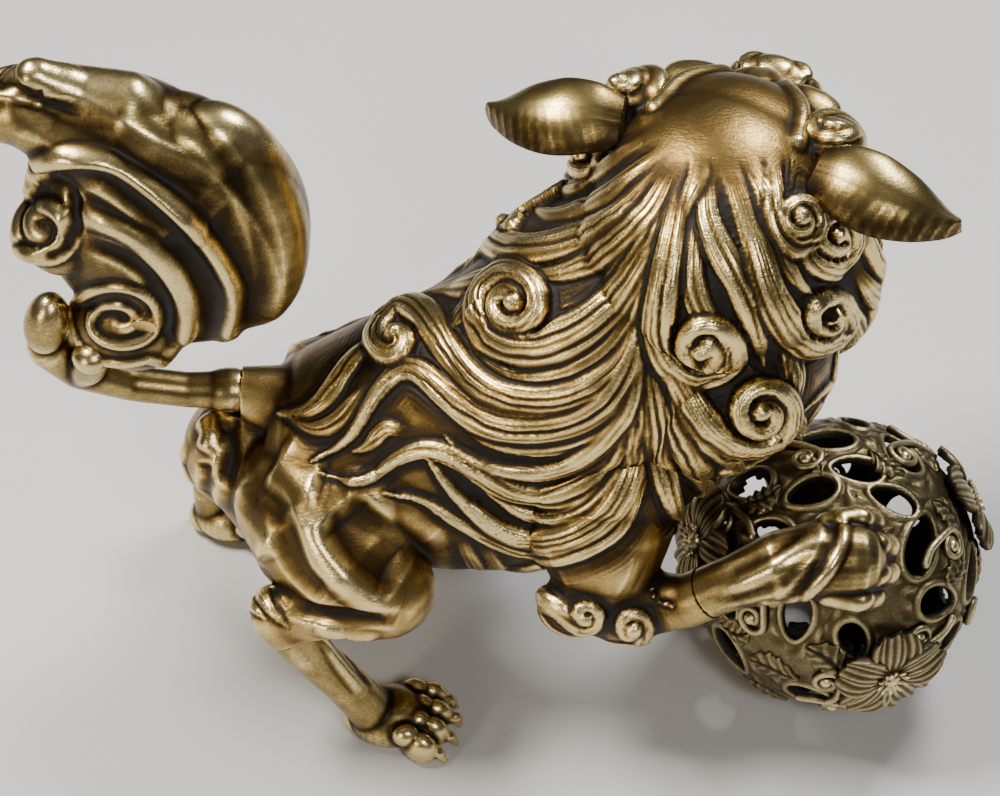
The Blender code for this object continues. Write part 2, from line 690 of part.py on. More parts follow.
def make_tail():
    axis = Vector(TAIL_AXIS).normalized()
    mouth = Vector(TAIL_AT)
    radius, length = TAIL_TENON
    stem_skin = organic("stem", build_stem, 380, voxel=1.3, smooth=3)
    stem = cut_at(stem_skin.copy(), mouth, -axis, 30)
    stem = combine(stem, rod(mouth - axis * length, mouth + axis * 4, radius), "UNION")
    plume = organic("plume", build_plume, 900)
    core = organic("plume_core", add_plume_core, 220, voxel=3.5)
    vent = [Vector(point) for point in PLUME_VENT]
    plume = minus(plume, grown(stem_skin, SEAT_GAP), core, rod(*vent, PLUG_RADIUS + GAP))
    foot, tip, peg_radius = PLUME_PEG
    plume = minus(plume, rod(foot, Vector(tip) + Vector((0, 0, GAP)), peg_radius + GAP))
    stem = combine(stem, rod(*PLUME_PEG), "UNION")
    finish(stem, "tail_stem", BRASS, TAIL_AT)
    finish(plume, "tail_plume", BRASS, TAIL_AT)
    along = (vent[1] - vent[0]).normalized()
    plug_foot = vent[0] + along * 17
    plug = rod(plug_foot, plug_foot + along * PLUG_LENGTH, PLUG_RADIUS)
    finish(plug, "core_plug_tail", PIN_BRASS, TAIL_AT)


# polar angle, azimuth, half length, half width, and turn of each opening in the ball's wall
OPENINGS = [
    (31, 11, 9, 5.5, 60), (44, -24, 7, 5, 20), (31, 51, 7, 4, 110), (38, 82, 7, 4.5, 90),
    (31, 117, 7, 4.5, 80), (31, -131, 7, 4.5, 30), (74, -140, 8, 5, 60), (66, -5, 8, 5, 90),
    (56, 97, 8, 5, 80), (58, 60, 8, 5.5, 40), (70, -102, 7, 4.5, 70), (54, 140, 7, 5, 30),
    (56, -165, 8, 5, 90), (76, 128, 6, 4.5, 60), (32, 160, 6, 4, 0), (33, -85, 6, 4, 20),
    (76, 82, 6, 4, 20), (34, -165, 6, 4, 90), (66, -34, 5, 4, 80),
]
# Rings of openings on the lower half: polar angle and how many.
for ring, count in ((108, 9), (134, 7), (158, 4)):
    OPENINGS += [(ring, 360 / count * k + ring, 8, 6, 0) for k in range(count)]


def opening(polar, azimuth, length, width, turn, corners=6):
    """A radial cutter of teardrop outline through the ball's wall."""
    frame = ball_frame(polar, azimuth) @ Matrix.Rotation(math.radians(turn), 4, "Z")
    bm = bmesh.new()
    rings = []
    for height in (BALL_RADIUS - BALL_WALL - 4, BALL_RADIUS + 4):
        ring = []
        for k in range(corners):
            angle = 2 * math.pi * k / corners
            narrow = 1 - 0.45 * (0.5 + 0.5 * math.cos(angle))
            place = Vector((length * math.cos(angle), width * math.sin(angle) * narrow, height))
            ring.append(bm.verts.new(frame @ place))
        rings.append(ring)
    lower, upper = rings
    for k in range(corners):
        n = (k + 1) % corners
        bm.faces.new((lower[k], lower[n], upper[n], upper[k]))
    bm.faces.new(lower[::-1])
    bm.faces.new(upper)
    return mesh_from(bm, "opening")


def make_flower(key):
    """A five petal flower seated on the ball with a bead centre, and the rivet that holds it."""
    polar, azimuth = FLOWERS[key]
    frame = ball_frame(polar, azimuth)
    base = BALL_RADIUS - 0.6

    def build(bm):
        for k in range(5):
            turn = Matrix.Rotation(math.radians(72 * k + 12), 4, "Z")
            lean = Matrix.Rotation(math.radians(-14), 4, "Y")
            place = frame @ turn @ Matrix.Translation((9.6, 0, base + 1.6)) @ lean
            add_ellipsoid(bm, (0, 0, 0), (8.2, 6.8, 1.7), frame=place)
        add_ellipsoid(bm, (0, 0, base + 2), (6, 6, 3.4), frame=frame)

    flower = organic("flower", build, 240, voxel=1.0, smooth=2)
    flower = minus(flower, ball_solid(BALL_RADIUS + GAP, 36))
    rivet = (frame @ Vector((0, 0, base - BALL_WALL - 1)), frame @ Vector((0, 0, base + 4)), RIVET_RADIUS)
    hole = rod(frame @ Vector((0, 0, base - 8)), frame @ Vector((0, 0, base + 4 + GAP)), RIVET_RADIUS + GAP)
    finish(minus(flower, hole.copy()), "ball_flower_" + key, PALE_BRASS, BALL_AT)
    finish(rod(*rivet), "ball_flower_rivet_" + key, PIN_BRASS, BALL_AT)
    return hole


def make_ball():
    """Two pierced half shells that meet across the stud, with the stud, washer and nut that hold them."""
    holes = [make_flower(key) for key in FLOWERS]
    shell = minus(ball_solid(BALL_RADIUS, 26), ball_solid(BALL_RADIUS - BALL_WALL, 26))
    cutters = [opening(*o) for o in OPENINGS]
    centre, axis = Vector(BALL_AT), stud_direction()
    bore = rod(centre + axis * 40, centre + axis * 60, STUD_RADIUS + GAP)
    copies = [mesh.copy() for mesh in cutters + holes]
    upper = minus(shell.copy(), slab(centre + axis * GAP / 2, -axis), bore, *copies)
    lower = minus(shell, slab(centre - axis * GAP / 2, axis), *cutters, *holes)
    finish(upper, "ball_upper_shell", PALE_BRASS, BALL_AT)
    finish(lower, "ball_lower_shell", PALE_BRASS, BALL_AT)
    inside = BALL_RADIUS - BALL_WALL
    stud = rod(centre + axis * (inside - STUD_END), centre + axis * (BALL_RADIUS + STUD_REACH), STUD_RADIUS)
    finish(stud, "ball_stud", PIN_BRASS)
    for name, (radius, segments, low, high) in (("ball_washer", WASHER), ("ball_nut", NUT)):
        foot, top = inside - low, inside - high
        solid = rod(centre + axis * foot, centre + axis * top, radius, segments)
        hole = rod(centre + axis * (foot - OVERSHOOT), centre + axis * (top + OVERSHOOT), STUD_RADIUS + GAP)
        finish(minus(solid, hole), name, PIN_BRASS)


def main():
    clear_scene()
    make_body()
    make_tail()
    make_ball()


main()
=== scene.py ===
"""Looks of the cast brass guardian lion: finished surfaces, chased hair, openwork ball, stage and camera.

Everything is modelled in millimetres in the same working frame as the CAD part (Z = 0 is the table, the
body's mid plane is Y = 0) and moved to the row frame, in metres, when a piece is made.
"""

import json
import math

import bmesh
import bpy
import numpy as np
from mathutils import Matrix, Vector
from mathutils.bvhtree import BVHTree

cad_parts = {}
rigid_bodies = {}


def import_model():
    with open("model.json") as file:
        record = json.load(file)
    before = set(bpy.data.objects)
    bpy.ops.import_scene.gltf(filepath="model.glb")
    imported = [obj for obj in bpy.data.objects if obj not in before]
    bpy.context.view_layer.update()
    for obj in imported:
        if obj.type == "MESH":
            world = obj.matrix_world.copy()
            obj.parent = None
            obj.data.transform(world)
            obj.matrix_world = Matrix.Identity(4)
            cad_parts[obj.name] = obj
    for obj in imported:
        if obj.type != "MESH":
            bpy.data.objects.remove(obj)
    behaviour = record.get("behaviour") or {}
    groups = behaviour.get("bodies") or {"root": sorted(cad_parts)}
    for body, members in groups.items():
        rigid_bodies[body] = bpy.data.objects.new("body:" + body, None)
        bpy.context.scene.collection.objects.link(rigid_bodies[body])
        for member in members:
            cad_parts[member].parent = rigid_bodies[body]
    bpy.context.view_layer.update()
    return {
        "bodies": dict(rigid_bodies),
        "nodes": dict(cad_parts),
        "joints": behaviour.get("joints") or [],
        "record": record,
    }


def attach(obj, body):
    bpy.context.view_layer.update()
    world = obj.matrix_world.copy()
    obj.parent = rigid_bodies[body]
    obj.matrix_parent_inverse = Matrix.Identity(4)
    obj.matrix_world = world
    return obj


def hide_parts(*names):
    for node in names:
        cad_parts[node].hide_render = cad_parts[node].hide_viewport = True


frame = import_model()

MM = 0.001
BALL_AT = np.array([115.0, -14.0, 50.0])
BALL_RADIUS = 50.0
BALL_WALL = 3.0
BALL_TILT = 40.0
BALL_ROOM = 58.4  # the flowers on the ball sweep inside this radius
BALL_JOINT = next(j for j in frame["record"]["behaviour"]["joints"] if j["name"] == "ball_turn")
SHIFT = np.array(BALL_JOINT["pos_m"]) / MM - BALL_AT  # from the working frame to the row frame

# ---------------------------------------------------------------- the lion's forms, as in the CAD part
TRUNK = [
    (-86, 2, 90, 22, 22), (-80, 2, 86, 32, 31), (-64, 0, 87, 37, 38), (-44, 0, 94, 40, 41),
    (-16, 0, 96, 43, 45), (12, 0, 99, 44, 46), (36, 0, 108, 40, 42), (54, 2, 120, 32, 34),
]
HAUNCH_RIGHT = [(-62, -18, 88, 28), (-57, -31, 88, 27), (-46, -42, 81, 22), (-38, -47, 75, 17)]
SHIN_RIGHT = [(-38, -48, 74, 16), (-56, -50, 69, 13), (-74, -51, 66, 9)]
HAUNCH_LEFT = [(-64, 18, 80, 26), (-70, 34, 66, 23), (-70, 45, 56, 18), (-66, 50, 51, 15)]
SHIN_LEFT = [(-66, 50, 51, 14), (-82, 51, 51, 11), (-97, 50, 53, 9)]
SHOULDER_RIGHT = [(32, -26, 100, 28), (34, -36, 88, 24), (34, -43, 77, 18), (33, -46, 71, 14)]
SHOULDER_LEFT = [(26, 26, 100, 28), (14, 38, 86, 24), (4, 48, 70, 19), (1, 52, 62, 15)]
FOREARM_RIGHT = [
    (33, -46, 71, 14), (46, -48, 68, 11.5), (62, -52, 74, 8.5), (78, -54, 87, 9), (92, -54, 94, 12),
]
FOREARM_LEFT = [(1, 52, 62, 15), (12, 55, 44, 12), (22, 57, 26, 10), (27, 59, 12, 9.5)]
SHANK_RIGHT = [(-74, -51, 66, 9), (-66, -52, 50, 8), (-52, -51, 27, 7.5), (-44, -50, 12, 8)]
SHANK_LEFT = [(-97, 50, 53, 9), (-103, 49, 37, 7.5), (-106, 47, 20, 7.5), (-105, 46, 11, 8)]
TAIL_ROOT = [(-60, 1, 107, 18), (-70, 2, 112, 14.5), (-79, 2, 116, 10.8), (-87, 2, 119, 8.2)]
SEAMS = {  # chain, station before the seam, share of the way to the next one
    "foreleg_right_lower": (FOREARM_RIGHT, 2, 0.4),
    "foreleg_left_lower": (FOREARM_LEFT, 0, 0.6),
    "hindleg_right_lower": (SHANK_RIGHT, 0, 0.45),
    "hindleg_left_lower": (SHANK_LEFT, 0, 0.45),
}
SEAM_GAP = 0.3
SEAM_LAP = 3.5  # a limb is carried this far past its seam, and then pressed flat onto it
SEAM_REACH = 26.0  # a limb's own end lies within this distance of its seam
SEAM_PLAIN = 9.5  # muscles and hair stay this far off a seam's middle
SEAM_FADE = 6.0  # and have their full depth this much farther out

MANE_BACK = [(62, 6, 176, 42), (38, 2, 150, 48), (8, 0, 122, 46), (-24, 0, 108, 42), (-44, 0, 100, 39)]
MANE_MASSES = [
    ((72, 8, 168), (46, 42, 44)), ((66, 0, 142), (46, 46, 40)), ((34, -16, 112), (40, 36, 30)),
    ((66, -1, 187), (43.5, 40.5, 37.5)),
]
LOCK_DEPTH = 2.6  # the mane's mass lies this far under its locks' crests

HEAD_AT = (68, 12, 190)
HEAD_YAW = 21.0
EYE_AT = (20, 41, 12)
EYE_RADIUS = 7.5
EAR_ROOT = (31, 0, 27)
EAR = [
    (0, 0, 0, 4, 8.5), (10, -3, 2, 3.4, 12), (21, -5, 1, 3.0, 13),
    (32, -4, -2, 2.6, 10.5), (41, -1, -6, 2.0, 6), (47, 2, -8, 1.2, 2),
]
EAR_FACING = (0, -0.5, 0.85)

TAIL_AT = (-86, 2, 119)
TAIL_AXIS = (-1, 0, 0.06)
TAIL_SEAT = 9.5  # radius of the flat that the tail's collar meets
TAIL_SOCKET = (4.3, 16.3)  # radius and depth
STEM = [(-88, 2, 119, 6.5), (-104, 1, 120, 6), (-122, 0, 124, 6), (-138, -2, 133, 7), (-146, -4, 146, 8)]
PLUME_BODY = ((-102, 0, 196), (44, 24, 51))
PLUME_TIP = [(-98, 0, 214, 25), (-120, 0, 234, 21), (-146, 0, 244, 14), (-170, 0, 242, 8)]
PLUME_CURLS = [((-136, -6, 196), 15), ((-118, -6, 160), 20)]

# Hair and muscles are drawn on a slanted plane, in millimetres across and up from its middle, and cast
# onto the forms from an eye in front of it. The camera stands at that eye.
DRAWING_AT = np.array([0.0, 0.0, 117.0])
DRAWING_TILT = math.radians(46)
EYE_DISTANCE = 950.0
TOWARDS_EYE = np.array([0, -math.cos(DRAWING_TILT), math.sin(DRAWING_TILT)])
DRAWING_UP = np.array([0, math.sin(DRAWING_TILT), math.cos(DRAWING_TILT)])
EYE = DRAWING_AT + EYE_DISTANCE * TOWARDS_EYE


def head_frame():
    return Matrix.Translation(HEAD_AT) @ Matrix.Rotation(math.radians(-HEAD_YAW), 4, "Z")


def ball_frame(polar=0.0, azimuth=0.0):
    """Frame at the ball's centre whose z axis points at that place on the ball."""
    lean = Matrix.Rotation(math.radians(BALL_TILT), 4, "X")
    spin = Matrix.Rotation(math.radians(azimuth), 4, "Z") @ Matrix.Rotation(math.radians(polar), 4, "Y")
    return Matrix.Translation(BALL_AT) @ lean @ spin


def rotation(matrix):
    return np.array(matrix.to_3x3())


def unit(rows):
    return rows / np.maximum(np.linalg.norm(rows, axis=1), 1e-6)[:, None]


def inset(chain, amount):
    """The stations of a chain with their radii less that amount."""
    return [(*s[:3], *(r - amount for r in s[3:])) for s in chain]


# ---------------------------------------------------------------- meshes
def add_ellipsoid(bm, centre, radii, turn=(0, 0, 0), frame=None, segments=32):
    place = Matrix.Translation(centre)
    for axis, angle in zip("XYZ", turn):
        place = place @ Matrix.Rotation(math.radians(angle), 4, axis)
    place = (frame or Matrix.Identity(4)) @ place @ Matrix.Diagonal((*radii, 1))
    bmesh.ops.create_uvsphere(bm, u_segments=segments, v_segments=segments // 2, radius=1, matrix=place)


def add_loft(bm, stations, frame=None, side_hint=(0, 1, 0), segments=28):
    """A closed tube with round ends, through stations of x, y, z and one radius or two: across, upwards."""
    frame = frame or Matrix.Identity(4)
    points = [Vector(s[:3]) for s in stations]
    radii = [(s[3], s[4] if len(s) > 4 else s[3]) for s in stations]
    tangents = [
        (points[min(i + 1, len(points) - 1)] - points[max(i - 1, 0)]).normalized()
        for i in range(len(points))
    ]
    rings = list(zip(points, radii, tangents))
    for end, sign in ((0, -1), (-1, 1)):
        centre, (across, deep), tangent = rings[end]
        reach = min(across, deep)
        caps = []
        for degrees in (20, 40, 60, 75, 85):
            a = math.radians(degrees)
            at = centre + tangent * sign * reach * math.sin(a)
            caps.append((at, (across * math.cos(a), deep * math.cos(a)), tangent))
        rings = (caps[::-1] + rings) if end == 0 else (rings + caps)
    loops = []
    for centre, (across, deep), tangent in rings:
        side = Vector(side_hint) - tangent * tangent.dot(Vector(side_hint))
        side.normalize()
        rise = tangent.cross(side)
        loop = []
        for k in range(segments):
            angle = 2 * math.pi * k / segments
            offset = side * across * math.cos(angle) + rise * deep * math.sin(angle)
            loop.append(bm.verts.new(frame @ (centre + offset)))
        loops.append(loop)
    for a, b in zip(loops, loops[1:]):
        for k in range(segments):
            n = (k + 1) % segments
            bm.faces.new((a[k], a[n], b[n], b[k]))
    bm.faces.new(loops[0][::-1])
    bm.faces.new(loops[-1])


FADE_OUT = 0.16  # share of a stroke's length over which its ends fade
SOFT = 1.6  # the power that shapes a broad, soft stroke


class Skin:
    """Points in millimetres, quads and other faces, and per point a darkness for patina and painted shade
    (0 on crests, 1 in the deepest hollows) and a strand number that runs across the hair, for the finest
    lines."""

    def __init__(self, points, faces, patina_and_shade=None, strand=None):
        self.points = np.asarray(points, float)
        self.faces = [tuple(f) for f in faces]
        self.patina_and_shade = np.zeros(len(self.points)) if patina_and_shade is None else np.asarray(patina_and_shade, float)
        self.strand = np.zeros(len(self.points)) if strand is None else np.asarray(strand, float)

    def mesh(self, name="skin"):
        mesh = bpy.data.meshes.new(name)
        mesh.from_pydata(self.points, [], self.faces)
        return mesh

    def normals(self):
        mesh = self.mesh()
        out = np.empty(len(self.points) * 3)
        mesh.vertex_normals.foreach_get("vector", out)
        bpy.data.meshes.remove(mesh)
        return out.reshape(-1, 3)

    def tree(self):
        return BVHTree.FromPolygons([tuple(p) for p in self.points], self.faces)

    def edges(self):
        mesh = self.mesh()
        out = np.empty(len(mesh.edges) * 2, np.int32)
        mesh.edges.foreach_get("vertices", out)
        bpy.data.meshes.remove(mesh)
        return out.reshape(-1, 2)

    def smoothed(self, values, times, edges=None):
        """Values per point (or rows of values), averaged with their neighbours that many times."""
        edges = self.edges() if edges is None else edges
        values = values.reshape(len(self.points), -1)
        degree = np.maximum(np.bincount(edges.ravel(), minlength=len(values)), 1)[:, None]
        for _ in range(times):
            total = np.stack([
                np.bincount(edges[:, 0], column[edges[:, 1]], len(values))
                + np.bincount(edges[:, 1], column[edges[:, 0]], len(values))
                for column in values.T
            ], 1)
            values = 0.5 * values + 0.5 * total / degree
        return values if values.shape[1] > 1 else values[:, 0]

    def turn_out(self, outward):
        """Turns the faces round if they look against those directions."""
        if np.einsum("ij,ij->i", self.normals(), outward).mean() < 0:
            self.faces = [f[::-1] for f in self.faces]

    def paint_patina_and_shade(self, fine=0.16, broad=0.9, base=0.37):
        """Sets the darkness from the shape: hollows are painted darker, as patina and painted shade, and
        crests are rubbed bright.
        """
        edges, normals = self.edges(), self.normals()
        near = self.smoothed(self.points, 5, edges)
        far = self.smoothed(near, 60, edges)
        small = ((near - self.points) * normals).sum(1) / fine
        large = ((far - self.points) * normals).sum(1) / broad
        depth = base + 0.34 * np.clip(small, -1.2, 1.6) + 0.30 * np.clip(large, -1.1, 1.8)
        self.patina_and_shade = np.clip(0.5 * self.patina_and_shade + depth, 0, 1)

    def stroke(self, path, radius, height, sharp=2):
        """Raises, or cuts with a negative height, a soft ridge along a path near the surface."""
        path = np.asarray(path, float)
        low, high = path.min(0) - radius, path.max(0) + radius
        near = np.flatnonzero(((self.points > low) & (self.points < high)).all(1))
        distance, share = distance_to_path(self.points[near], path)
        fade = np.clip(np.minimum(share, 1 - share) / FADE_OUT, 0, 1)
        weight = np.clip(1 - (distance / radius) ** 2, 0, 1) ** sharp * (0.15 + 0.85 * fade)
        self.points[near] += self.base_normals[near] * (weight * height)[:, None]


def distance_to_path(points, path):
    """Each point's distance to the path, and how far along it the nearest place is, from 0 to 1."""
    best, along = np.full(len(points), 1e9), np.zeros(len(points))
    for k, (a, b) in enumerate(zip(path, path[1:])):
        run = b - a
        share = np.clip(((points - a) @ run) / max(run @ run, 1e-9), 0, 1)
        distance = np.linalg.norm(points - a - share[:, None] * run, axis=1)
        closer = distance < best
        best[closer] = distance[closer]
        along[closer] = (k + share[closer]) / (len(path) - 1)
    return best, along


def merged(skins):
    faces, start = [], 0
    for skin in skins:
        faces.extend([tuple(i + start for i in f) for f in skin.faces])
        start += len(skin.points)
    points, patina_and_shade, strand = (
        np.concatenate([getattr(skin, key) for skin in skins]) for key in ("points", "patina_and_shade", "strand")
    )
    return Skin(points, faces, patina_and_shade, strand)


def kept_faces(skin, keep):
    """The faces that keep is true for, and the numbers of their points."""
    faces = [face for face, kept in zip(skin.faces, keep) if kept]
    return faces, np.unique(np.concatenate([np.array(face) for face in faces]))


def part_of(skin, keep):
    """The faces that keep is true for, as a skin of their own."""
    faces, used = kept_faces(skin, keep)
    index = np.full(len(skin.points), -1)
    index[used] = np.arange(len(used))
    faces = [tuple(index[list(f)].tolist()) for f in faces]
    return Skin(skin.points[used], faces, skin.patina_and_shade[used], skin.strand[used])


def thickened(skin, wall, inward=None, coarse=0.0):
    """Gives an open sheet a back, wall below it, and closes its rims. A coarse back joins its inner
    points in cells of that size."""
    inward = -skin.normals() if inward is None else inward
    count = len(skin.points)
    back = skin.points + inward * wall
    owned = {(a, b) for face in skin.faces for a, b in zip(face, face[1:] + face[:1])}
    rims = [(b, a, a + count, b + count) for a, b in owned if (b, a) not in owned]
    rims.sort()
    group = np.arange(count)
    if coarse:
        inner = np.ones(count, bool)
        inner[np.unique(np.array([r[:2] for r in rims]))] = False
        cells = np.floor(back / coarse).astype(int)
        _, first, own = np.unique(cells[inner], axis=0, return_index=True, return_inverse=True)
        own = own.reshape(-1)
        place = np.flatnonzero(inner)
        group[place] = place[first][own]
        weight = np.maximum(np.bincount(group, minlength=count), 1)[:, None]
        back = np.stack([np.bincount(group, back[:, k], count) for k in range(3)], 1) / weight
    behind = []
    for face in skin.faces:
        ring = []
        for i in group[list(reversed(face))].tolist():
            if i not in ring:
                ring.append(i)
        if len(ring) > 2:
            behind.append(tuple(i + count for i in ring))
    kept = np.unique(group)
    index = np.concatenate([np.arange(count), np.full(count, -1)])
    index[kept + count] = np.arange(len(kept)) + count
    faces = skin.faces + [tuple(index[list(f)].tolist()) for f in behind + rims]
    points = np.concatenate([skin.points, back[kept]])
    # The back is given the darkest tone: painted shade inside the casting.
    patina_and_shade = np.concatenate([skin.patina_and_shade, np.ones(len(kept))])
    return Skin(points, faces, patina_and_shade, np.concatenate([skin.strand, skin.strand[kept]]))


def linked(mesh, name):
    obj = bpy.data.objects.new(name, mesh)
    bpy.context.scene.collection.objects.link(obj)
    return obj


def evaluated(obj):
    bpy.context.view_layer.update()
    mesh = bpy.data.meshes.new_from_object(obj.evaluated_get(bpy.context.evaluated_depsgraph_get()))
    old = obj.data
    bpy.data.objects.remove(obj, do_unlink=True)
    if old.users == 0:
        bpy.data.meshes.remove(old)
    return mesh


def skin_of(mesh):
    points = np.empty(len(mesh.vertices) * 3)
    mesh.vertices.foreach_get("co", points)
    faces = [tuple(p.vertices) for p in mesh.polygons]
    bpy.data.meshes.remove(mesh)
    return Skin(points.reshape(-1, 3), faces)


def skin_of_forms(bm):
    mesh = bpy.data.meshes.new("forms")
    bm.to_mesh(mesh)
    bm.free()
    return skin_of(mesh)


def largest_shell(skin):
    """Drops the shells that a remesh leaves inside a form."""
    bm = bmesh.new()
    mesh = skin.mesh()
    bm.from_mesh(mesh)
    bpy.data.meshes.remove(mesh)
    bm.verts.ensure_lookup_table()
    seen, shells = set(), []
    for start in bm.verts:
        if start.index in seen:
            continue
        stack, shell = [start], []
        seen.add(start.index)
        while stack:
            v = stack.pop()
            shell.append(v.index)
            for e in v.link_edges:
                o = e.other_vert(v)
                if o.index not in seen:
                    seen.add(o.index)
                    stack.append(o)
        shells.append(shell)
    bm.free()
    if len(shells) == 1:
        return skin
    best = set(max(shells, key=len))
    return part_of(skin, [f[0] in best for f in skin.faces])


# Voxel sizes of the fused skins; FORM_VOXEL is for forms that only tell which points belong to them.
FORM_VOXEL = 2.2
BODY_VOXEL = 0.76
LIMB_VOXEL = 0.7
PLUME_VOXEL = 0.95


def fused(build, voxel, smooth=8):
    """One smooth skin around overlapping forms. The remesh works in metres, so that its limits suit."""
    bm = bmesh.new()
    build(bm)
    bmesh.ops.scale(bm, vec=(MM, MM, MM), verts=bm.verts)
    bmesh.ops.recalc_face_normals(bm, faces=bm.faces)
    mesh = bpy.data.meshes.new("form")
    bm.to_mesh(mesh)
    bm.free()
    obj = linked(mesh, "form")
    remesh = obj.modifiers.new("fuse", "REMESH")
    remesh.mode = "VOXEL"
    remesh.voxel_size = voxel * MM
    relax = obj.modifiers.new("relax", "SMOOTH")
    relax.iterations = smooth
    skin = skin_of(evaluated(obj))
    skin.points /= MM
    skin = largest_shell(skin)
    skin.base_normals = unit(skin.smoothed(skin.normals(), 4))
    return skin


def seam_of(name):
    chain, index, share = SEAMS[name]
    a, b = Vector(chain[index][:3]), Vector(chain[index + 1][:3])
    return np.array(a.lerp(b, share)), np.array((b - a).normalized())


def limb_part(name, lower):
    """The stations of a limb on one side of its seam, carried a little past it."""
    chain, index, share = SEAMS[name]
    a, b = np.array(chain[index], float), np.array(chain[index + 1], float)
    past = SEAM_LAP / np.linalg.norm((b - a)[:3])
    if lower:
        return [tuple(a + (b - a) * (share - past)), *chain[index + 1 :]]
    return [*chain[: index + 1], tuple(a + (b - a) * (share + past))]


def flattened(points, point, direction, reach):
    """Presses what lies beyond the plane, within reach of its middle, flat onto it."""
    offset = points - point
    beyond = offset @ direction
    press = (beyond > 0) & (np.linalg.norm(offset, axis=1) < reach)
    points[press] -= direction * beyond[press][:, None]


def socketed(points, mouth, axis, seat, bore, depth):
    """Presses a flat seat round the mouth, and a socket of that bore and depth into its middle."""
    along = (points - mouth) @ axis
    around = points - mouth - along[:, None] * axis
    radius = np.linalg.norm(around, axis=1)
    near = (radius < seat) & (along > -seat)
    points[near & (along > 0)] -= axis * along[near & (along > 0)][:, None]
    rim = near & (np.abs(radius - bore) < 0.8)
    points[rim] += around[rim] * ((bore - radius[rim]) / radius[rim])[:, None]
    deep = near & (radius < bore)
    points[deep] -= axis * (depth + np.minimum(along[deep], 0))[:, None]


def clear_of_ball(points, room=BALL_ROOM):
    """Pushes points out of the room that the ball's flowers need."""
    away = points - BALL_AT
    distance = np.linalg.norm(away, axis=1)
    short = distance < room
    points[short] = BALL_AT + away[short] * (room / distance[short])[:, None]


# ---------------------------------------------------------------- materials
def made_node(tree, kind, **values):
    """A new node; the values set its properties or, with _ for a space, its inputs."""
    made = tree.nodes.new(kind)
    for key, value in values.items():
        if hasattr(made, key):
            setattr(made, key, value)
        else:
            made.inputs[key.replace("_", " ")].default_value = value
    return made


def multiply_add(tree, value, factor, addend):
    """What a node gives that works out value * factor + addend."""
    made = made_node(tree, "ShaderNodeMath", operation="MULTIPLY_ADD")
    made.inputs[1].default_value = factor
    tree.links.new(value, made.inputs[0])
    tree.links.new(addend, made.inputs[2])
    return made.outputs[0]


def brass(name, tones, rough, mottle=0.3, grain=0.25, strands=0.0):
    """Aged brass. The tones run from rubbed crests to near black in the deepest hollows, which is patina
    and painted shade; that darkness, broken up by clouds and flecks, picks one. Grain, rubbing marks and,
    on hair, fine lines roughen it."""
    material = bpy.data.materials.new(name)
    material.use_nodes = True
    tree = material.node_tree
    link = tree.links.new
    shader = tree.nodes["Principled BSDF"]
    place = made_node(tree, "ShaderNodeTexCoord").outputs["Object"]
    patina_and_shade = made_node(tree, "ShaderNodeAttribute", attribute_name="patina_and_shade").outputs["Fac"]
    cloud = made_node(tree, "ShaderNodeTexNoise", Scale=60.0, Detail=7.0, Roughness=0.6)
    fleck = made_node(tree, "ShaderNodeTexNoise", Scale=1100.0, Detail=4.0, Roughness=0.65)
    for texture in (cloud, fleck):
        link(place, texture.inputs["Vector"])
    clouded = multiply_add(tree, cloud.outputs["Fac"], mottle, patina_and_shade)
    flecked = multiply_add(tree, fleck.outputs["Fac"], mottle * 0.8, clouded)
    tone = made_node(tree, "ShaderNodeMath", operation="SUBTRACT", use_clamp=True)
    link(flecked, tone.inputs[0])
    tone.inputs[1].default_value = mottle * 0.9
    # The ramp paints the hollows darker: patina and painted shade.
    ramp = tree.nodes.new("ShaderNodeValToRGB")
    link(tone.outputs[0], ramp.inputs["Fac"])
    stops = ramp.color_ramp.elements
    while len(stops) < len(tones):
        stops.new(0.5)
    for stop, (at, colour) in zip(stops, tones):
        stop.position = at
        stop.color = (*colour, 1)
    link(ramp.outputs["Color"], shader.inputs["Base Color"])
    metal = made_node(tree, "ShaderNodeMapRange", From_Min=0.45, To_Min=1.0, To_Max=0.55)
    metal.interpolation_type = "SMOOTHSTEP"
    link(tone.outputs[0], metal.inputs["Value"])
    link(metal.outputs[0], shader.inputs["Metallic"])
    roughness = made_node(tree, "ShaderNodeMapRange", To_Min=rough[0], To_Max=rough[1])
    link(tone.outputs[0], roughness.inputs["Value"])
    worn = multiply_add(tree, fleck.outputs["Fac"], 0.16, roughness.outputs[0])
    link(worn, shader.inputs["Roughness"])
    stretch = made_node(tree, "ShaderNodeMapping", Scale=(300, 900, 2400))
    link(place, stretch.inputs["Vector"])
    rub = made_node(tree, "ShaderNodeTexNoise", Scale=1.0, Detail=3.0)
    link(stretch.outputs[0], rub.inputs["Vector"])
    bump = made_node(tree, "ShaderNodeBump", Strength=grain, Distance=0.0005)
    link(multiply_add(tree, fleck.outputs["Fac"], 0.8, rub.outputs["Fac"]), bump.inputs["Height"])
    top = bump
    if strands:
        number = made_node(tree, "ShaderNodeAttribute", attribute_name="strand").outputs["Fac"]
        wave = made_node(tree, "ShaderNodeMath", operation="MULTIPLY")
        link(number, wave.inputs[0])
        wave.inputs[1].default_value = 2 * math.pi
        cosine = made_node(tree, "ShaderNodeMath", operation="COSINE")
        link(wave.outputs[0], cosine.inputs[0])
        top = made_node(tree, "ShaderNodeBump", Strength=strands, Distance=0.0004)
        link(cosine.outputs[0], top.inputs["Height"])
        link(bump.outputs["Normal"], top.inputs["Normal"])
    link(top.outputs["Normal"], shader.inputs["Normal"])
    return material
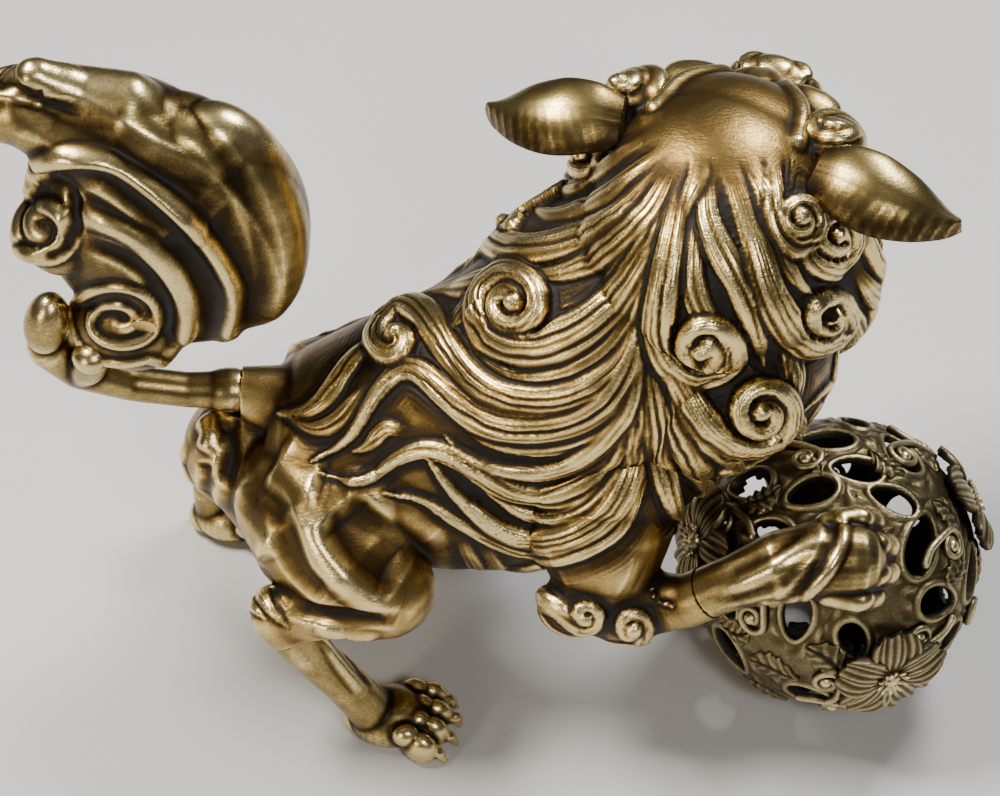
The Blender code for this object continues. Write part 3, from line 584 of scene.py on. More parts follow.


# Each ramp runs from plain brass on crests to near black: the dark stops are patina and painted shade in
# the hollows.
CHASED = brass(
    "chased_brass",
    [(0.0, (0.90, 0.71, 0.33)), (0.12, (0.60, 0.43, 0.16)), (0.30, (0.24, 0.15, 0.045)),
     (0.50, (0.075, 0.045, 0.015)), (0.78, (0.014, 0.010, 0.006))],
    rough=(0.19, 0.5), mottle=0.28, strands=0.14,
)
RUBBED = brass(
    "rubbed_brass",
    [(0.0, (0.80, 0.63, 0.30)), (0.12, (0.38, 0.28, 0.105)), (0.30, (0.135, 0.088, 0.030)),
     (0.50, (0.036, 0.023, 0.009)), (0.78, (0.012, 0.009, 0.006))],
    rough=(0.2, 0.44), mottle=0.38, grain=0.12,
)
PALE = brass(
    "pale_brass",
    [(0.0, (0.80, 0.68, 0.40)), (0.18, (0.38, 0.31, 0.16)), (0.42, (0.12, 0.09, 0.042)),
     (0.74, (0.016, 0.013, 0.008))],
    rough=(0.24, 0.55), mottle=0.36, grain=0.35,
)
DRAWN = brass(
    "drawn_brass",
    [(0.0, (0.85, 0.62, 0.26)), (0.6, (0.4, 0.26, 0.09)), (1.0, (0.08, 0.055, 0.02))],
    rough=(0.2, 0.45),
)
DARK = brass(
    "dark_eye_brass",
    [(0.0, (0.5, 0.35, 0.14)), (0.5, (0.14, 0.10, 0.05)), (1.0, (0.015, 0.012, 0.01))],
    rough=(0.12, 0.3),
)
ENAMEL = brass(
    "worn_teeth_brass",
    [(0.0, (0.9, 0.78, 0.5)), (0.5, (0.5, 0.39, 0.2)), (1.0, (0.06, 0.045, 0.025))],
    rough=(0.2, 0.5),
)
SHARP_ANGLE = math.radians(70)


def piece(skin, name, body, material, replaces=()):
    """Makes the skin a named piece in the row frame that rides on that body."""
    mesh = bpy.data.meshes.new(name)
    mesh.from_pydata((skin.points + SHIFT) * MM, [], skin.faces)
    for key in ("patina_and_shade", "strand"):
        attribute = mesh.attributes.new(key, "FLOAT", "POINT")
        attribute.data.foreach_set("value", getattr(skin, key).astype(np.float32))
    mesh.materials.append(material)
    obj = linked(mesh, name)
    mesh.shade_smooth()
    mesh.set_sharp_from_angle(angle=SHARP_ANGLE)
    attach(obj, body)
    if replaces:
        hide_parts(*replaces)
    return obj


# ---------------------------------------------------------------- the body's forms
ELBOWS = [((42, -50, 69), (17, 11, 14)), ((26, -50, 70), (13, 10, 12)), ((4, 54, 58), (14, 10, 12))]
CROWN_FILL = ((68, 5, 190), (40.5, 38.5, 36.5))  # carries the crown over into the nape
TONGUE = [(0, 14, -36, 9, 4), (0, 34, -32, 10, 3.5), (0, 47, -31, 9, 3), (0, 56, -34, 6, 2.2)]
RELAX_LOSS = 0.5  # what the relaxing takes off a limb's radius


def build_trunk(bm):
    add_loft(bm, TRUNK, segments=48)
    for limb in (HAUNCH_RIGHT, SHIN_RIGHT, HAUNCH_LEFT, SHIN_LEFT, SHOULDER_RIGHT, SHOULDER_LEFT):
        add_loft(bm, limb)
    for name in SEAMS:
        add_loft(bm, inset(limb_part(name, lower=False), -RELAX_LOSS))
    add_loft(bm, TAIL_ROOT)
    add_ellipsoid(bm, (-44, -20, 98), (20, 24, 26), turn=(0, 20, 0))
    for centre, radii in ELBOWS:
        add_ellipsoid(bm, centre, radii)


def build_mane_mass(bm):
    add_loft(bm, inset(MANE_BACK, LOCK_DEPTH), segments=40)
    for centre, radii in MANE_MASSES:
        add_ellipsoid(bm, centre, [r - LOCK_DEPTH for r in radii])
    add_ellipsoid(bm, *CROWN_FILL, segments=48)
    f = head_frame()
    for s in (-1, 1):
        cheek = [(s * 34, 2, 4, 14), (s * 40, 10, -18, 16), (s * 39, 13, -42, 14), (s * 31, 14, -60, 11)]
        add_loft(bm, inset(cheek, LOCK_DEPTH), f)
    beard = [(-20, 20, -52, 12), (0, 28, -56, 13), (20, 20, -52, 12)]
    add_loft(bm, inset(beard, LOCK_DEPTH), f, side_hint=(0, 0, 1))


def build_head(bm):
    f = head_frame()
    add_ellipsoid(bm, (0, 0, 9), (37, 36, 30), frame=f, segments=48)
    add_ellipsoid(bm, (0, 13, 9), (36, 31, 28), frame=f, segments=48)
    add_ellipsoid(bm, (0, 38, -6), (28, 28, 15), frame=f)
    add_ellipsoid(bm, (0, 30, 12), (14, 26, 14), frame=f)
    add_ellipsoid(bm, (0, 63, 6), (12, 8, 8), frame=f)
    for s in (-1, 1):
        add_ellipsoid(bm, (s * 33, 17, 25), (10, 10, 8.5), turn=(0, 20 * s, 0), frame=f)
        add_ellipsoid(bm, (s * 18, 35, 20), (13, 9, 7), frame=f)
        add_ellipsoid(bm, (s * 28, 24, -10), (13, 18, 18), frame=f)
        add_ellipsoid(bm, (s * 17, 52, -13), (13, 13, 10), frame=f)
        add_ellipsoid(bm, (s * 11, 60, 2), (7, 7, 6), frame=f)
    add_loft(bm, [(0, 4, -34, 27, 13), (0, 28, -41, 25, 10), (0, 48, -41, 18, 9)], f, side_hint=(1, 0, 0))
    add_loft(bm, TONGUE, f, side_hint=(1, 0, 0))


# ---------------------------------------------------------------- locks of hair
LOCK_ROOT = 0.45  # a lock's width at its root, as a share of its full width
LOCK_TIP = 0.07  # and at its tip
LOCK_STEP = 0.9  # between the points of its centre line
LOCK_REACH = 9.0  # it shapes skin that lies within this distance above or below it
OUTSIDE = 9.0  # stands for a place far to a lock's side, which is 1 at its edge
WOUND_IN = 0.85  # the share of its radius that a curl loses towards its eye
CURL_LIFT = 1.7  # how much higher a curl's eye lies
KNOB_RADIUS = 2.5  # of the bead at a curl's eye
GROOVE_WIDTH = 0.28  # of the line round a lock, as a share of the lock's half width
GROOVE_DEPTH = 0.34  # as a share of the lock's rise
LINES_PER_STRAND = 1.9  # the finest lines, on a lock and on the ground between locks
LINES_PER_MM = 0.55
LINE_SHIFT = 0.37  # keeps the lines of neighbouring locks apart


def spline(points, step=0.8):
    """Catmull-Rom curve through the points, sampled about every step."""
    points = np.array(points, float)
    padded = np.vstack([2 * points[0] - points[1], points, 2 * points[-1] - points[-2]])
    out = []
    for p0, p1, p2, p3 in zip(padded, padded[1:], padded[2:], padded[3:]):
        count = max(2, int(np.linalg.norm(p2 - p1) / step))
        t = np.linspace(0, 1, count, endpoint=False)[:, None]
        bend = (2 * p0 - 5 * p1 + 4 * p2 - p3) * t**2 + (3 * p1 - p0 - 3 * p2 + p3) * t**3
        out.append(0.5 * (2 * p1 + (p2 - p0) * t + bend))
    out.append(points[-1:])
    return np.vstack(out)


def spiral(start, centre, turns, step=0.8):
    """Points that wind from start towards centre; positive turns run anticlockwise."""
    arm = np.array(start, float) - np.array(centre, float)
    radius, angle = np.linalg.norm(arm), math.atan2(arm[1], arm[0])
    count = max(12, int(abs(turns) * math.pi * radius / step))
    t = np.linspace(0, 1, count)[1:]
    reach = radius * (1 - WOUND_IN * t)
    heading = angle + 2 * math.pi * turns * t
    return np.array(centre) + np.stack([reach * np.cos(heading), reach * np.sin(heading)], 1)


class Drawing:
    """A plane to draw on: its middle, its unit vectors across, up and towards the eye, and the eye's
    distance."""

    def __init__(self, middle, across, up, towards, distance=EYE_DISTANCE):
        self.middle, self.across, self.up = (np.array(v, float) for v in (middle, across, up))
        self.eye = self.middle + distance * np.array(towards, float)
        self.distance = distance

    def cast(self, path, tree):
        """Casts drawn points onto the forms; one that misses takes the nearest place to its ray."""
        out = []
        for x, s in path:
            aim = Vector(self.middle + x * self.across + s * self.up - self.eye).normalized()
            hit = tree.ray_cast(Vector(self.eye), aim)[0]
            if hit is None:
                reach = np.arange(self.distance - 130, self.distance + 110, 6.0)
                found = [tree.find_nearest(Vector(self.eye) + aim * d) for d in reach]
                hit = min(found, key=lambda place: place[3])[0]
            out.append(hit)
        return np.array(out)


SIDE = Drawing(DRAWING_AT, (1, 0, 0), DRAWING_UP, TOWARDS_EYE)


def mirrored_onto(path, tree):
    """The path on the other side of the mid plane, at the nearest places of the forms."""
    return np.array([tree.find_nearest(Vector(p * (1, -1, 1)))[0] for p in path])


class Lock:
    """A ridge of hair along a centre line, with a half width, rise and lift at each of its points."""

    def __init__(self, centre, width, rise, strands, lift, curled, curl_width, seed, side):
        self.side = side  # 1 where the side drawing's eye can see, -1 where it can't
        length = np.concatenate([[0], np.cumsum(np.linalg.norm(np.diff(centre, axis=0), axis=1))])
        count = max(8, int(length[-1] / LOCK_STEP))
        at = np.linspace(0, length[-1], count)
        centre = np.stack([np.interp(at, length, centre[:, k]) for k in range(3)], 1)
        padded = np.vstack([centre[:1], centre, centre[-1:]])
        self.centre = (padded[:-2] + padded[1:-1] + padded[2:]) / 3
        self.tangent = unit(np.gradient(self.centre, axis=0))
        self.strands = strands
        self.seed = seed
        t = np.linspace(0, 1, count)
        grow = LOCK_ROOT + (1 - LOCK_ROOT) * np.clip(t / 0.35, 0, 1) ** 0.8
        emerge = np.clip(t / 0.3, 0, 1)
        emerge = emerge * emerge * (3 - 2 * emerge)
        if curled:
            bend = np.clip((t - (1 - curled)) / curled, 0, 1)
            into = np.clip(bend / 0.35, 0, 1)
            self.width = width * grow * (1 - into) + curl_width * into
            self.rise = rise * emerge
            self.lift = lift * emerge + CURL_LIFT * bend
        else:
            taper = np.clip((1 - t) / 0.45, 0, 1) ** 0.8
            self.width = width * grow * (LOCK_TIP + (1 - LOCK_TIP) * taper)
            self.rise = rise * emerge * (0.35 + 0.65 * taper)
            self.lift = lift * emerge * (0.3 + 0.7 * taper)
        self.turn = 12 * np.cross(self.tangent, np.gradient(self.tangent, axis=0))
        self.knob = self.centre[-1] if curled else None

    def nearest(self, points, batch=8000):
        """For each point the number of the nearest one of the centre line."""
        best = np.empty(len(points), int)
        for start in range(0, len(points), batch):
            part = slice(start, start + batch)
            gap = (self.centre**2).sum(1)[None] - 2 * points[part] @ self.centre.T
            best[part] = gap.argmin(1)
        return best


def crown(u, strands, seed):
    """Height across a lock, from -1 to 1: a rounded crown cut by a few lines between its strands."""
    rng = np.random.default_rng(seed)
    edges = np.linspace(-1, 1, strands + 1)[1:-1] + rng.uniform(-0.3, 0.3, strands - 1) / strands
    height = np.clip(1 - np.abs(u) ** 2.4, 0, 1) ** 0.62
    for k, edge in enumerate(edges):
        line = np.clip(1 - np.abs(u - edge) * strands / 0.8, 0, 1)
        height = height * (1 - (0.28 + 0.14 * math.sin(2.4 * k + seed)) * line)
    return height


def relief(skin, locks, weight):
    """Raises the locks from the skin, the highest in front, with a line cut round each. The weight is 0
    where the skin stays plain and 1 where the hair has its full depth."""
    points, normals = skin.points, skin.base_normals
    facing = ((EYE - points) * normals).sum(1) / EYE_DISTANCE
    shown = {1: np.clip((facing + 0.12) / 0.12, 0, 1), -1: np.clip(-facing / 0.2, 0, 1)}
    height = np.zeros(len(points))
    groove = np.zeros(len(points))
    closest = np.full(len(points), 3.0)
    for lock in locks:
        reach = 2.2 * lock.width.max() + 2
        low, high = lock.centre.min(0) - reach, lock.centre.max(0) + reach
        near = np.flatnonzero(((points > low) & (points < high)).all(1) & (shown[lock.side] > 0))
        if not len(near):
            continue
        p, n = points[near], normals[near]
        best = lock.nearest(p)
        tangent = lock.tangent[best]
        side = unit(np.cross(tangent, n))
        rel = p - lock.centre[best]
        across, along = (rel * side).sum(1), (rel * tangent).sum(1)
        beyond = np.where((best == 0) | (best == len(lock.centre) - 1), np.abs(along), 0)
        width = lock.width[best]
        u = np.sign(across) * np.sqrt(across**2 + beyond**2) / width
        bend = np.clip((lock.turn[best] * n).sum(1), -1, 1)
        lean = np.clip(u + 0.3 * bend * (1 - u**2), -1, 1)
        u[np.abs((rel * n).sum(1)) > LOCK_REACH] = OUTSIDE
        inside = np.abs(u) < 1
        wave = 1 + 0.10 * np.sin(best * 0.21 + lock.seed) * np.cos(2.0 * u)
        fade = shown[lock.side][near]
        raised = fade * (lock.lift[best] + lock.rise[best] * crown(lean, lock.strands, lock.seed) * wave)
        if lock.knob is not None:
            knob = np.linalg.norm(p - lock.knob, axis=1) / KNOB_RADIUS
            dome = lock.lift[-1] + lock.rise[-1] * (0.7 + 0.6 * np.sqrt(1 - np.minimum(knob, 1) ** 2))
            raised = np.where(knob < 1, fade * dome, raised)
            inside |= knob < 1
        own = inside & (raised > height[near])
        outline = np.clip(1 - (np.abs(u) - 1) / GROOVE_WIDTH, 0, 1) * (np.abs(u) >= 1)
        outline = outline * np.minimum(lock.rise[best], 2.5) * fade
        over = near[~inside]
        above = lock.lift[best][~inside] + 1.6 > height[over]
        groove[over] = np.maximum(groove[over], GROOVE_DEPTH * outline[~inside] * above)
        groove[near[own]] = 0
        height[near[own]] = raised[own]
        skin.strand[near[own]] = u[own] * lock.strands * 0.5 * LINES_PER_STRAND + lock.seed * LINE_SHIFT
        ground = ~inside & (np.abs(u) < closest[near]) & (height[near] == 0)
        skin.strand[near[ground]] = u[ground] * width[ground] * LINES_PER_MM + lock.seed * LINE_SHIFT
        closest[near[ground]] = np.abs(u[ground])
        closest[near[own]] = 0
    rise = skin.smoothed(height - groove, 2) * weight
    combed = np.clip((2.6 - closest) / 0.8, 0, 1) * weight
    skin.strand[weight < 0.7] = 0
    skin.points = points + normals * rise[:, None]
    # The ground between the locks is painted darker, as patina and painted shade.
    skin.patina_and_shade = combed * np.clip(0.52 - 0.24 * rise, 0, 0.5)


# Drawn locks: path, half width, rise, strands and lift, and where one curls, its curl's middle and turns.
LOCKS_BACK = [
    # From the parting back over the neck and the ribs, the upper ones first.
    ([(56, 90), (44, 84), (32, 74), (26, 70), (21.5, 74)], 5.0, 2.6, 4, 0.6, (29, 79), -1.3),
    ([(58, 86), (46, 76), (33, 66), (18, 61), (7, 66)], 4.5, 2.2, 3, 0.0),
    ([(58, 84), (48, 70), (34, 57), (18, 50.5), (4, 49.5), (-5, 55)], 6.0, 3.2, 5, 0.8, (2, 58.5), -1.2),
    ([(58, 80), (50, 63), (39, 52), (27, 44), (15, 41), (6, 44)], 5.5, 2.6, 4, 0.3),
    ([(57, 74), (50, 56), (40, 42), (30, 33), (20, 30)], 4.0, 2.0, 3, 0.0),
    ([(56, 70), (48, 46), (38, 32), (25, 22), (10, 17.5), (-3, 22), (-6.5, 31)], 7.0, 3.6, 5, 1.4, (5.5,
      31), -1.5),
    ([(55, 62), (49, 40), (40, 22), (28, 11.5), (14, 7.5), (2, 8), (-8, 16), (-8, 29)], 4.6, 2.6, 4, 0.2),
    ([(54, 56), (48, 33), (42, 14), (31, 4), (17, -0.5), (2, 0.5), (-9, 7), (-18, 18), (-25, 28), (-33,
       30.5), (-40, 24)], 5.6, 3.2, 5, 0.9, (-34, 19), 0.75),
    ([(53, 50), (46, 23), (40, 6), (28, -5), (12, -9), (-5, -7), (-17, 1), (-26, 8.5), (-33, 9), (-41, 1),
      (-50, -13), (-62, -21)], 6.2, 3.4, 5, 1.0),
    ([(50, 36), (45, 9), (37, -7), (24, -15), (8, -17), (-6, -14), (-14, -7)], 4.4, 2.4, 3, 0.2),
    ([(48, 28), (44, 0), (34, -14), (20, -23), (4, -24.5), (-10, -20), (-19, -12)], 4.6, 3.0, 4, 0.9),
    ([(48, 20), (43, -8), (36, -22), (24, -31), (10, -32), (-3, -27), (-12, -21), (-24, -17), (-34, -20),
      (-46, -27.5), (-61, -26)], 5.2, 3.0, 4, 0.6),
    ([(47, 12), (43, -16), (35, -31), (22, -39.5), (8, -38), (-3, -31), (-10, -24)], 4.8, 3.0, 4, 0.8),
    ([(46, 6), (44, -20), (36, -37), (20, -46.5), (2, -44), (-11, -35), (-20, -25), (-27, -14)], 5.6, 3.6,
     5, 1.4),
    ([(47, 0), (45, -26), (38, -43), (20, -51), (2, -49), (-14, -41), (-27, -33), (-40, -31)], 4.6, 2.8,
     4, 0.4),
    ([(-36, 23), (-45, 17), (-52, 9), (-58, 0), (-66, -5), (-75, -5)], 4.4, 2.2, 4, 0.2),
    ([(-44, 6), (-50, -3), (-56, -9), (-63, -10), (-71, -6)], 3.6, 1.8, 3, 0.0),
    ([(-30, -12), (-38, -10), (-44, -16), (-50, -18)], 3.2, 1.6, 3, 0.0),
    # Over the spine towards the back's far edge.
    ([(22, 60), (6, 45), (-8, 38), (-20, 36), (-33, 31)], 6.0, 2.2, 4, 0.0),
    ([(12, 44), (-4, 36), (-14, 27), (-20, 20), (-28, 21)], 5.0, 2.0, 4, 0.0),
    ([(40, 96), (29, 90), (19, 80), (12, 70)], 5.5, 2.0, 4, 0.0),
]
LOCKS_FRONT = [
    # Down over the right shoulder and the cheek, from the parting forwards.
    ([(47, 16), (47, -8), (47, -24), (44, -41)], 4.6, 2.6, 4, 0.6),
    ([(49, 22), (51, 0), (53, -18), (57, -34), (65, -48)], 5.2, 3.2, 4, 1.2),
    ([(50, 28), (54, 4), (61, -14), (70, -28), (80, -36), (83.5, -42)], 5.2, 3.2, 4, 1.0, (78, -43),
     -0.8),
    ([(51, 32), (56, 10), (66, -10), (78, -21), (90, -27), (100, -28)], 5.0, 3.2, 5, 0.8),
    ([(52, 40), (55, 16), (63, 0), (72, -11), (84, -15.5), (94, -11)], 5.4, 3.6, 5, 1.6, (86, -4), 1.5),
    ([(96, 22), (98, 8), (96, -4), (92, -14)], 5.0, 2.2, 4, 0.0),
    ([(80, 12), (88, 2), (98, -8), (106, -12)], 5.0, 2.2, 4, 0.2),
    ([(66, 66), (65, 52), (64, 40), (68, 28), (77, 20), (84, 8)], 4.6, 2.4, 4, 0.0),
    ([(61, 78), (58, 58), (55, 38), (53.5, 22), (58, 11), (67, 8.5), (75.5, 12)], 6.0, 3.6, 5, 1.6, (68,
      18.5), 1.5),
    ([(69, 76), (69, 62), (73, 50), (80, 38), (85, 24), (88, 10)], 5.0, 2.8, 4, 0.6),
    ([(74, 84), (80, 67), (85, 50), (90, 34), (98, 22), (106, 18.5), (113.5, 23)], 6.0, 3.6, 5, 1.4, (107,
      28), 1.4),
    ([(80, 84), (88, 70), (92, 55), (97, 42), (104, 34)], 4.6, 2.6, 4, 0.2),
    ([(92, 84), (91, 70), (92, 58), (98, 51), (105, 56)], 4.6, 3.0, 4, 1.2, (98, 59), 1.4),
    ([(101, 72), (100, 57), (103, 46), (111, 43.5), (118, 51)], 4.4, 3.0, 4, 0.8, (110, 53.5), 1.4),
    ([(66, 86), (66, 74), (62, 64), (60, 54)], 3.6, 1.6, 3, 0.0),
    # Cheek and beard locks at the far right.
    ([(116, 68), (120, 56), (125, 46), (127.5, 37), (121, 30)], 4.4, 2.6, 4, 0.6),
    ([(118, 44), (125, 32), (127, 20), (124.5, 10), (117, 1)], 4.4, 2.6, 4, 0.6),
    ([(110, 38), (118, 24), (115, 11), (106, 1), (99, -6)], 4.4, 2.6, 4, 0.4),
    ([(118, 28), (118, 15), (112, 4), (105, -6), (100, -15)], 4.0, 2.2, 4, 0.0),
]
ELBOW_TUFTS = [
    ([(-14, -44), (-8, -56), (2, -66), (13, -74), (24, -80)], 4.0, 1.8, 3, 0.2),
    ([(-8, -46), (0, -57), (9, -65), (19, -70), (27, -77)], 4.0, 1.8, 3, 0.5, (28.5, -71.5), 1.1),
    ([(-2, -58), (8, -70), (18, -80), (30, -84)], 3.6, 1.6, 3, 0.0),
    ([(30, -82), (38, -84), (46, -82), (49, -77)], 3.2, 1.8, 3, 0.3, (43.5, -76), 1.1),
]
HOCK_TUFTS = [
    ([(-83, -56), (-85, -62), (-83, -68), (-78, -74)], 3.2, 1.5, 3, 0.2),
    ([(-78, -58), (-79, -65), (-76, -71), (-70, -77)], 3.0, 1.4, 3, 0.0),
]
BROW_CURLS = [
    ([(50, 103), (44, 99), (36, 101)], 3.0, 2.2, 3, 0.4, (41, 105.5), -1.1),
    ([(98, 92), (106, 88), (116, 88), (122, 93)], 3.4, 2.2, 3, 0.4, (114, 95), 1.2),
]


def drawn_lock(entry, seed, tree, drawing=SIDE, mirrored=False):
    points, width, rise, strands, lift, *curl = entry
    path = spline(points)
    coil, curl_width = [], 0.0
    if curl:
        middle, turns = curl
        coil = spiral(path[-1], middle, turns)
        radius = np.linalg.norm(path[-1] - np.array(middle))
        curl_width = max(1.9, 0.5 * WOUND_IN * radius / abs(turns))
        path = np.vstack([path, coil])
    centre = drawing.cast(path, tree)
    if mirrored:
        centre = mirrored_onto(centre, tree)
    length = np.linalg.norm(np.diff(centre, axis=0), axis=1)
    curled = length[len(length) - len(coil) :].sum() / length.sum()
    side = -1 if mirrored or drawing is not SIDE else 1
    return Lock(centre, width, rise, strands, lift, curled, curl_width, seed, side)


def drawn_locks(entries, first_seed, tree, **options):
    return [drawn_lock(entry, first_seed + k, tree, **options) for k, entry in enumerate(entries)]


# ---------------------------------------------------------------- locks drawn from in front of the head
FORWARD = head_frame().to_3x3() @ Vector((0, 1, 0))
SIDEWAYS = head_frame().to_3x3() @ Vector((1, 0, 0))
FACE = Drawing(head_frame() @ Vector((0, 0, -10)), -SIDEWAYS, (0, 0, 1), FORWARD, distance=600)
# Half of the locks round the face; the other half mirrors them across the drawing's upright.
FACE_LOCKS = [
    ([(30, 34), (38, 30), (46, 22), (50, 12)], 5.0, 2.6, 4, 0.2),
    ([(31, 22), (40, 16), (49, 9), (52, 1)], 5.0, 3.0, 4, 0.8, (45.5, 1), -1.2),
    ([(32, 8), (41, 2), (48, -8), (53, -18), (50, -25)], 5.0, 3.0, 4, 0.6),
    ([(31, -6), (40, -14), (48, -22), (50, -32)], 5.0, 3.2, 4, 1.0, (43.5, -31), -1.2),
    ([(29, -20), (36, -30), (44, -42), (42, -54), (34, -60)], 5.4, 3.2, 4, 0.6),
    ([(24, -36), (30, -46), (34, -56), (30, -66)], 5.0, 3.2, 4, 1.2, (24.5, -62), -1.2),
    ([(16, -42), (20, -54), (20, -64), (12, -74)], 4.8, 3.0, 4, 0.8),
    ([(6, -46), (9, -58), (8, -68), (2, -78)], 4.6, 3.0, 4, 1.2),
    ([(50, -40), (56, -52), (54, -66), (44, -76)], 5.4, 2.6, 4, 0.0),
    ([(33, -62), (36, -71), (32, -79), (24, -84)], 5.0, 2.8, 4, 0.2),
    ([(16, -70), (18, -77), (13, -83), (4, -87)], 5.0, 2.8, 4, 0.4),
]


def face_locks(tree):
    out = []
    for side in (1, -1):
        for k, (points, width, rise, strands, lift, *curl) in enumerate(FACE_LOCKS):
            points = [(side * x, s) for x, s in points]
            if curl:
                (x, s), turns = curl
                curl = [(side * x, s), side * turns]
            entry = (points, width, rise, strands, lift, *curl)
            out.append(drawn_lock(entry, 300 + 20 * side + k, tree, drawing=FACE))
    return out


# ---------------------------------------------------------------- muscles and folds of the body
# Drawn paths, radius and height; a negative height cuts a hollow.
MUSCLES = [
    ([(-74, -20), (-66, -25), (-58, -27)], 12, 3.0),
    ([(-56, -29), (-36, -36), (-16, -49)], 10, 2.2),
    ([(-55, -37), (-44, -49.5), (-32, -60)], 12, -4.2),
    ([(-64, -34), (-58, -54), (-47, -65), (-33, -70)], 8, 2.4),
    ([(-77, -32), (-72, -45), (-66, -59), (-55, -68)], 7, -2.0),
    ([(-86, -26), (-85, -40), (-76, -54)], 9, 1.4),
    ([(-70, -69), (-60, -72), (-48, -73), (-34, -74)], 4.5, -1.8),
    ([(-62, -76), (-52, -79), (-40, -80)], 5, 1.2),
    ([(-60, -84), (-50, -84), (-40, -86)], 4, -1.0),
    ([(-16, -52), (-8, -60), (4, -72)], 8, -1.6),
    ([(16, -56), (30, -58), (46, -60)], 10, 1.8),
    ([(6, -62), (18, -66), (30, -70)], 6, 1.0),
]
# Seen past the rump, on the far leg only.
FAR_HIP = [
    ([(-99, -6), (-97, -12), (-99, -18)], 5, 2.4),
    ([(-91, -6), (-90, -18), (-93, -30)], 5, -2.8),
    ([(-104, -14), (-107, -24), (-107, -34)], 4, 1.4),
    ([(-99, -21), (-98, -28), (-99, -36)], 4.5, -2.0),
]

# The face, drawn from in front: half of it, with radius and height. The other half mirrors it.
FACE_STROKES = [
    ([(10, 20), (15, 29), (22, 32), (29, 28), (33, 21)], 2.8, 2.2),  # upper eyelid
    ([(9, 26), (15, 34), (24, 37), (33, 32)], 2.2, -1.2),
    ([(11, 18), (17, 12), (24, 11), (31, 16)], 2.4, 1.6),  # lower eyelid
    ([(12, 10), (20, 6), (30, 9)], 2.4, -1.0),
    ([(6, 32), (14, 40), (26, 42), (38, 36), (44, 28)], 4.5, 2.4),  # brow
    ([(7, 15), (8.5, 13.5)], 3.4, -3.2),  # nostril
    ([(5, 22), (12, 21), (16, 15), (14, 9)], 3.0, 1.8),
    ([(0, 8), (0, -3)], 1.8, -1.4),
    ([(0, -6), (8, -11), (17, -14), (25, -9), (31, 0), (35, 8)], 2.8, 1.8),  # upper lip
    ([(6, 3), (16, -2), (25, 2), (30, 9)], 2.4, -1.2),
    ([(0, -32), (10, -31), (19, -28), (26, -21), (31, -12)], 2.6, 1.6),  # lower lip
    ([(0, -40), (10, -39), (18, -36)], 2.6, -1.2),
    ([(0, 34), (5, 30), (7, 24)], 2.0, -0.9),  # folds over the nose
    ([(0, 40), (6, 36)], 2.0, -0.8),
]

CROWN_AT = (74, 98)  # middle of the smooth crown between the ears, in the side drawing
CROWN_RADII = (27, 25)


def off_crown(points):
    """0 on the smooth crown between the ears, 1 where the hair has its full depth."""
    rel = points - EYE
    reach = EYE_DISTANCE / -(rel @ TOWARDS_EYE)
    across = (rel[:, 0] * reach - CROWN_AT[0]) / CROWN_RADII[0]
    up = (rel @ DRAWING_UP * reach - CROWN_AT[1]) / CROWN_RADII[1]
    away = np.hypot(across, up)
    return np.clip((away - 0.72) / 0.55, 0, 1)


def off_seams(points):
    """0 at the legs' seams, so that both castings meet there on a plain limb."""
    weight = np.ones(len(points))
    for name in SEAMS:
        distance = np.linalg.norm(points - seam_of(name)[0], axis=1)
        weight *= np.clip((distance - SEAM_PLAIN) / SEAM_FADE, 0, 1)
    return weight


def drawn_strokes(skin, tree, strokes, sides=(1,), sharp=2):
    """Strokes the skin along side drawings, on those sides of the mid plane."""
    for path, radius, height in strokes:
        for side in sides:
            skin.stroke(SIDE.cast(spline(path, 3), tree) * (1, side, 1), radius, height, sharp)


def fade_at_seams(skin, plain):
    """Takes the skin back to its plain points at the legs' seams."""
    skin.points = plain + (skin.points - plain) * off_seams(plain)[:, None]


OF_TRUNK, OF_MANE, OF_HEAD = range(3)  # the form that a point of the body belongs to
CASTING_WALL = 1.6
TORSO_WALL = 2.4


def forms_of(points):
    """The form that each point belongs to, which is the nearest; the head takes a little of the mane."""
    forms = ((build_trunk, 8), (build_mane_mass, 8), (build_head, 6))
    trees = [fused(build, FORM_VOXEL, smooth).tree() for build, smooth in forms]
    away = np.array([[tree.find_nearest(Vector(p))[3] for tree in trees] for p in points])
    form = away.argmin(1)
    form[(away[:, OF_HEAD] < away[:, OF_MANE] + 1.2) & (form == OF_MANE)] = OF_HEAD
    return form


def all_locks(tree):
    """Every lock of the body's hair, the far side's first."""
    locks = drawn_locks([entry for entry in LOCKS_BACK if entry[0][-1][0] < 30], 110, tree, mirrored=True)
    locks += drawn_locks(LOCKS_FRONT[:7], 140, tree, mirrored=True)
    locks += face_locks(tree)
    locks += drawn_locks(ELBOW_TUFTS, 170, tree, mirrored=True)
    locks += drawn_locks(LOCKS_BACK, 10, tree)
    locks += drawn_locks(LOCKS_FRONT, 60, tree)
    locks += drawn_locks(ELBOW_TUFTS + HOCK_TUFTS, 200, tree)
    return locks + drawn_locks(BROW_CURLS, 220, tree)


def make_castings(body, form):
    """Parts the body's skin into thin castings: the torso, the mane in three and the head."""
    corner = np.array([face[0] for face in body.faces])
    form, corner = form[corner], body.points[corner]
    mane, right, front = form == OF_MANE, corner[:, 1] < 4, corner[:, 0] > 52
    inward = unit(-body.smoothed(body.base_normals, 6))
    for name, keep, slot, replaced in (
        ("torso_skin", form == OF_TRUNK, "polished_brass", ["torso_casting"]),
        ("mane_right_side", mane & right & ~front, "patinated_brass", ["mane_and_neck_casting"]),
        ("mane_right_cheek", mane & right & front, "patinated_brass", []),
        ("mane_left_side", mane & ~right, "patinated_brass", []),
        ("head_skin", form == OF_HEAD, "polished_brass", ["head_casting"]),
    ):
        wall = TORSO_WALL if name == "torso_skin" else CASTING_WALL
        skin = thickened(part_of(body, keep), wall, inward[kept_faces(body, keep)[1]], coarse=3.0)
        piece(skin, name, "statue", CHASED, replaced)


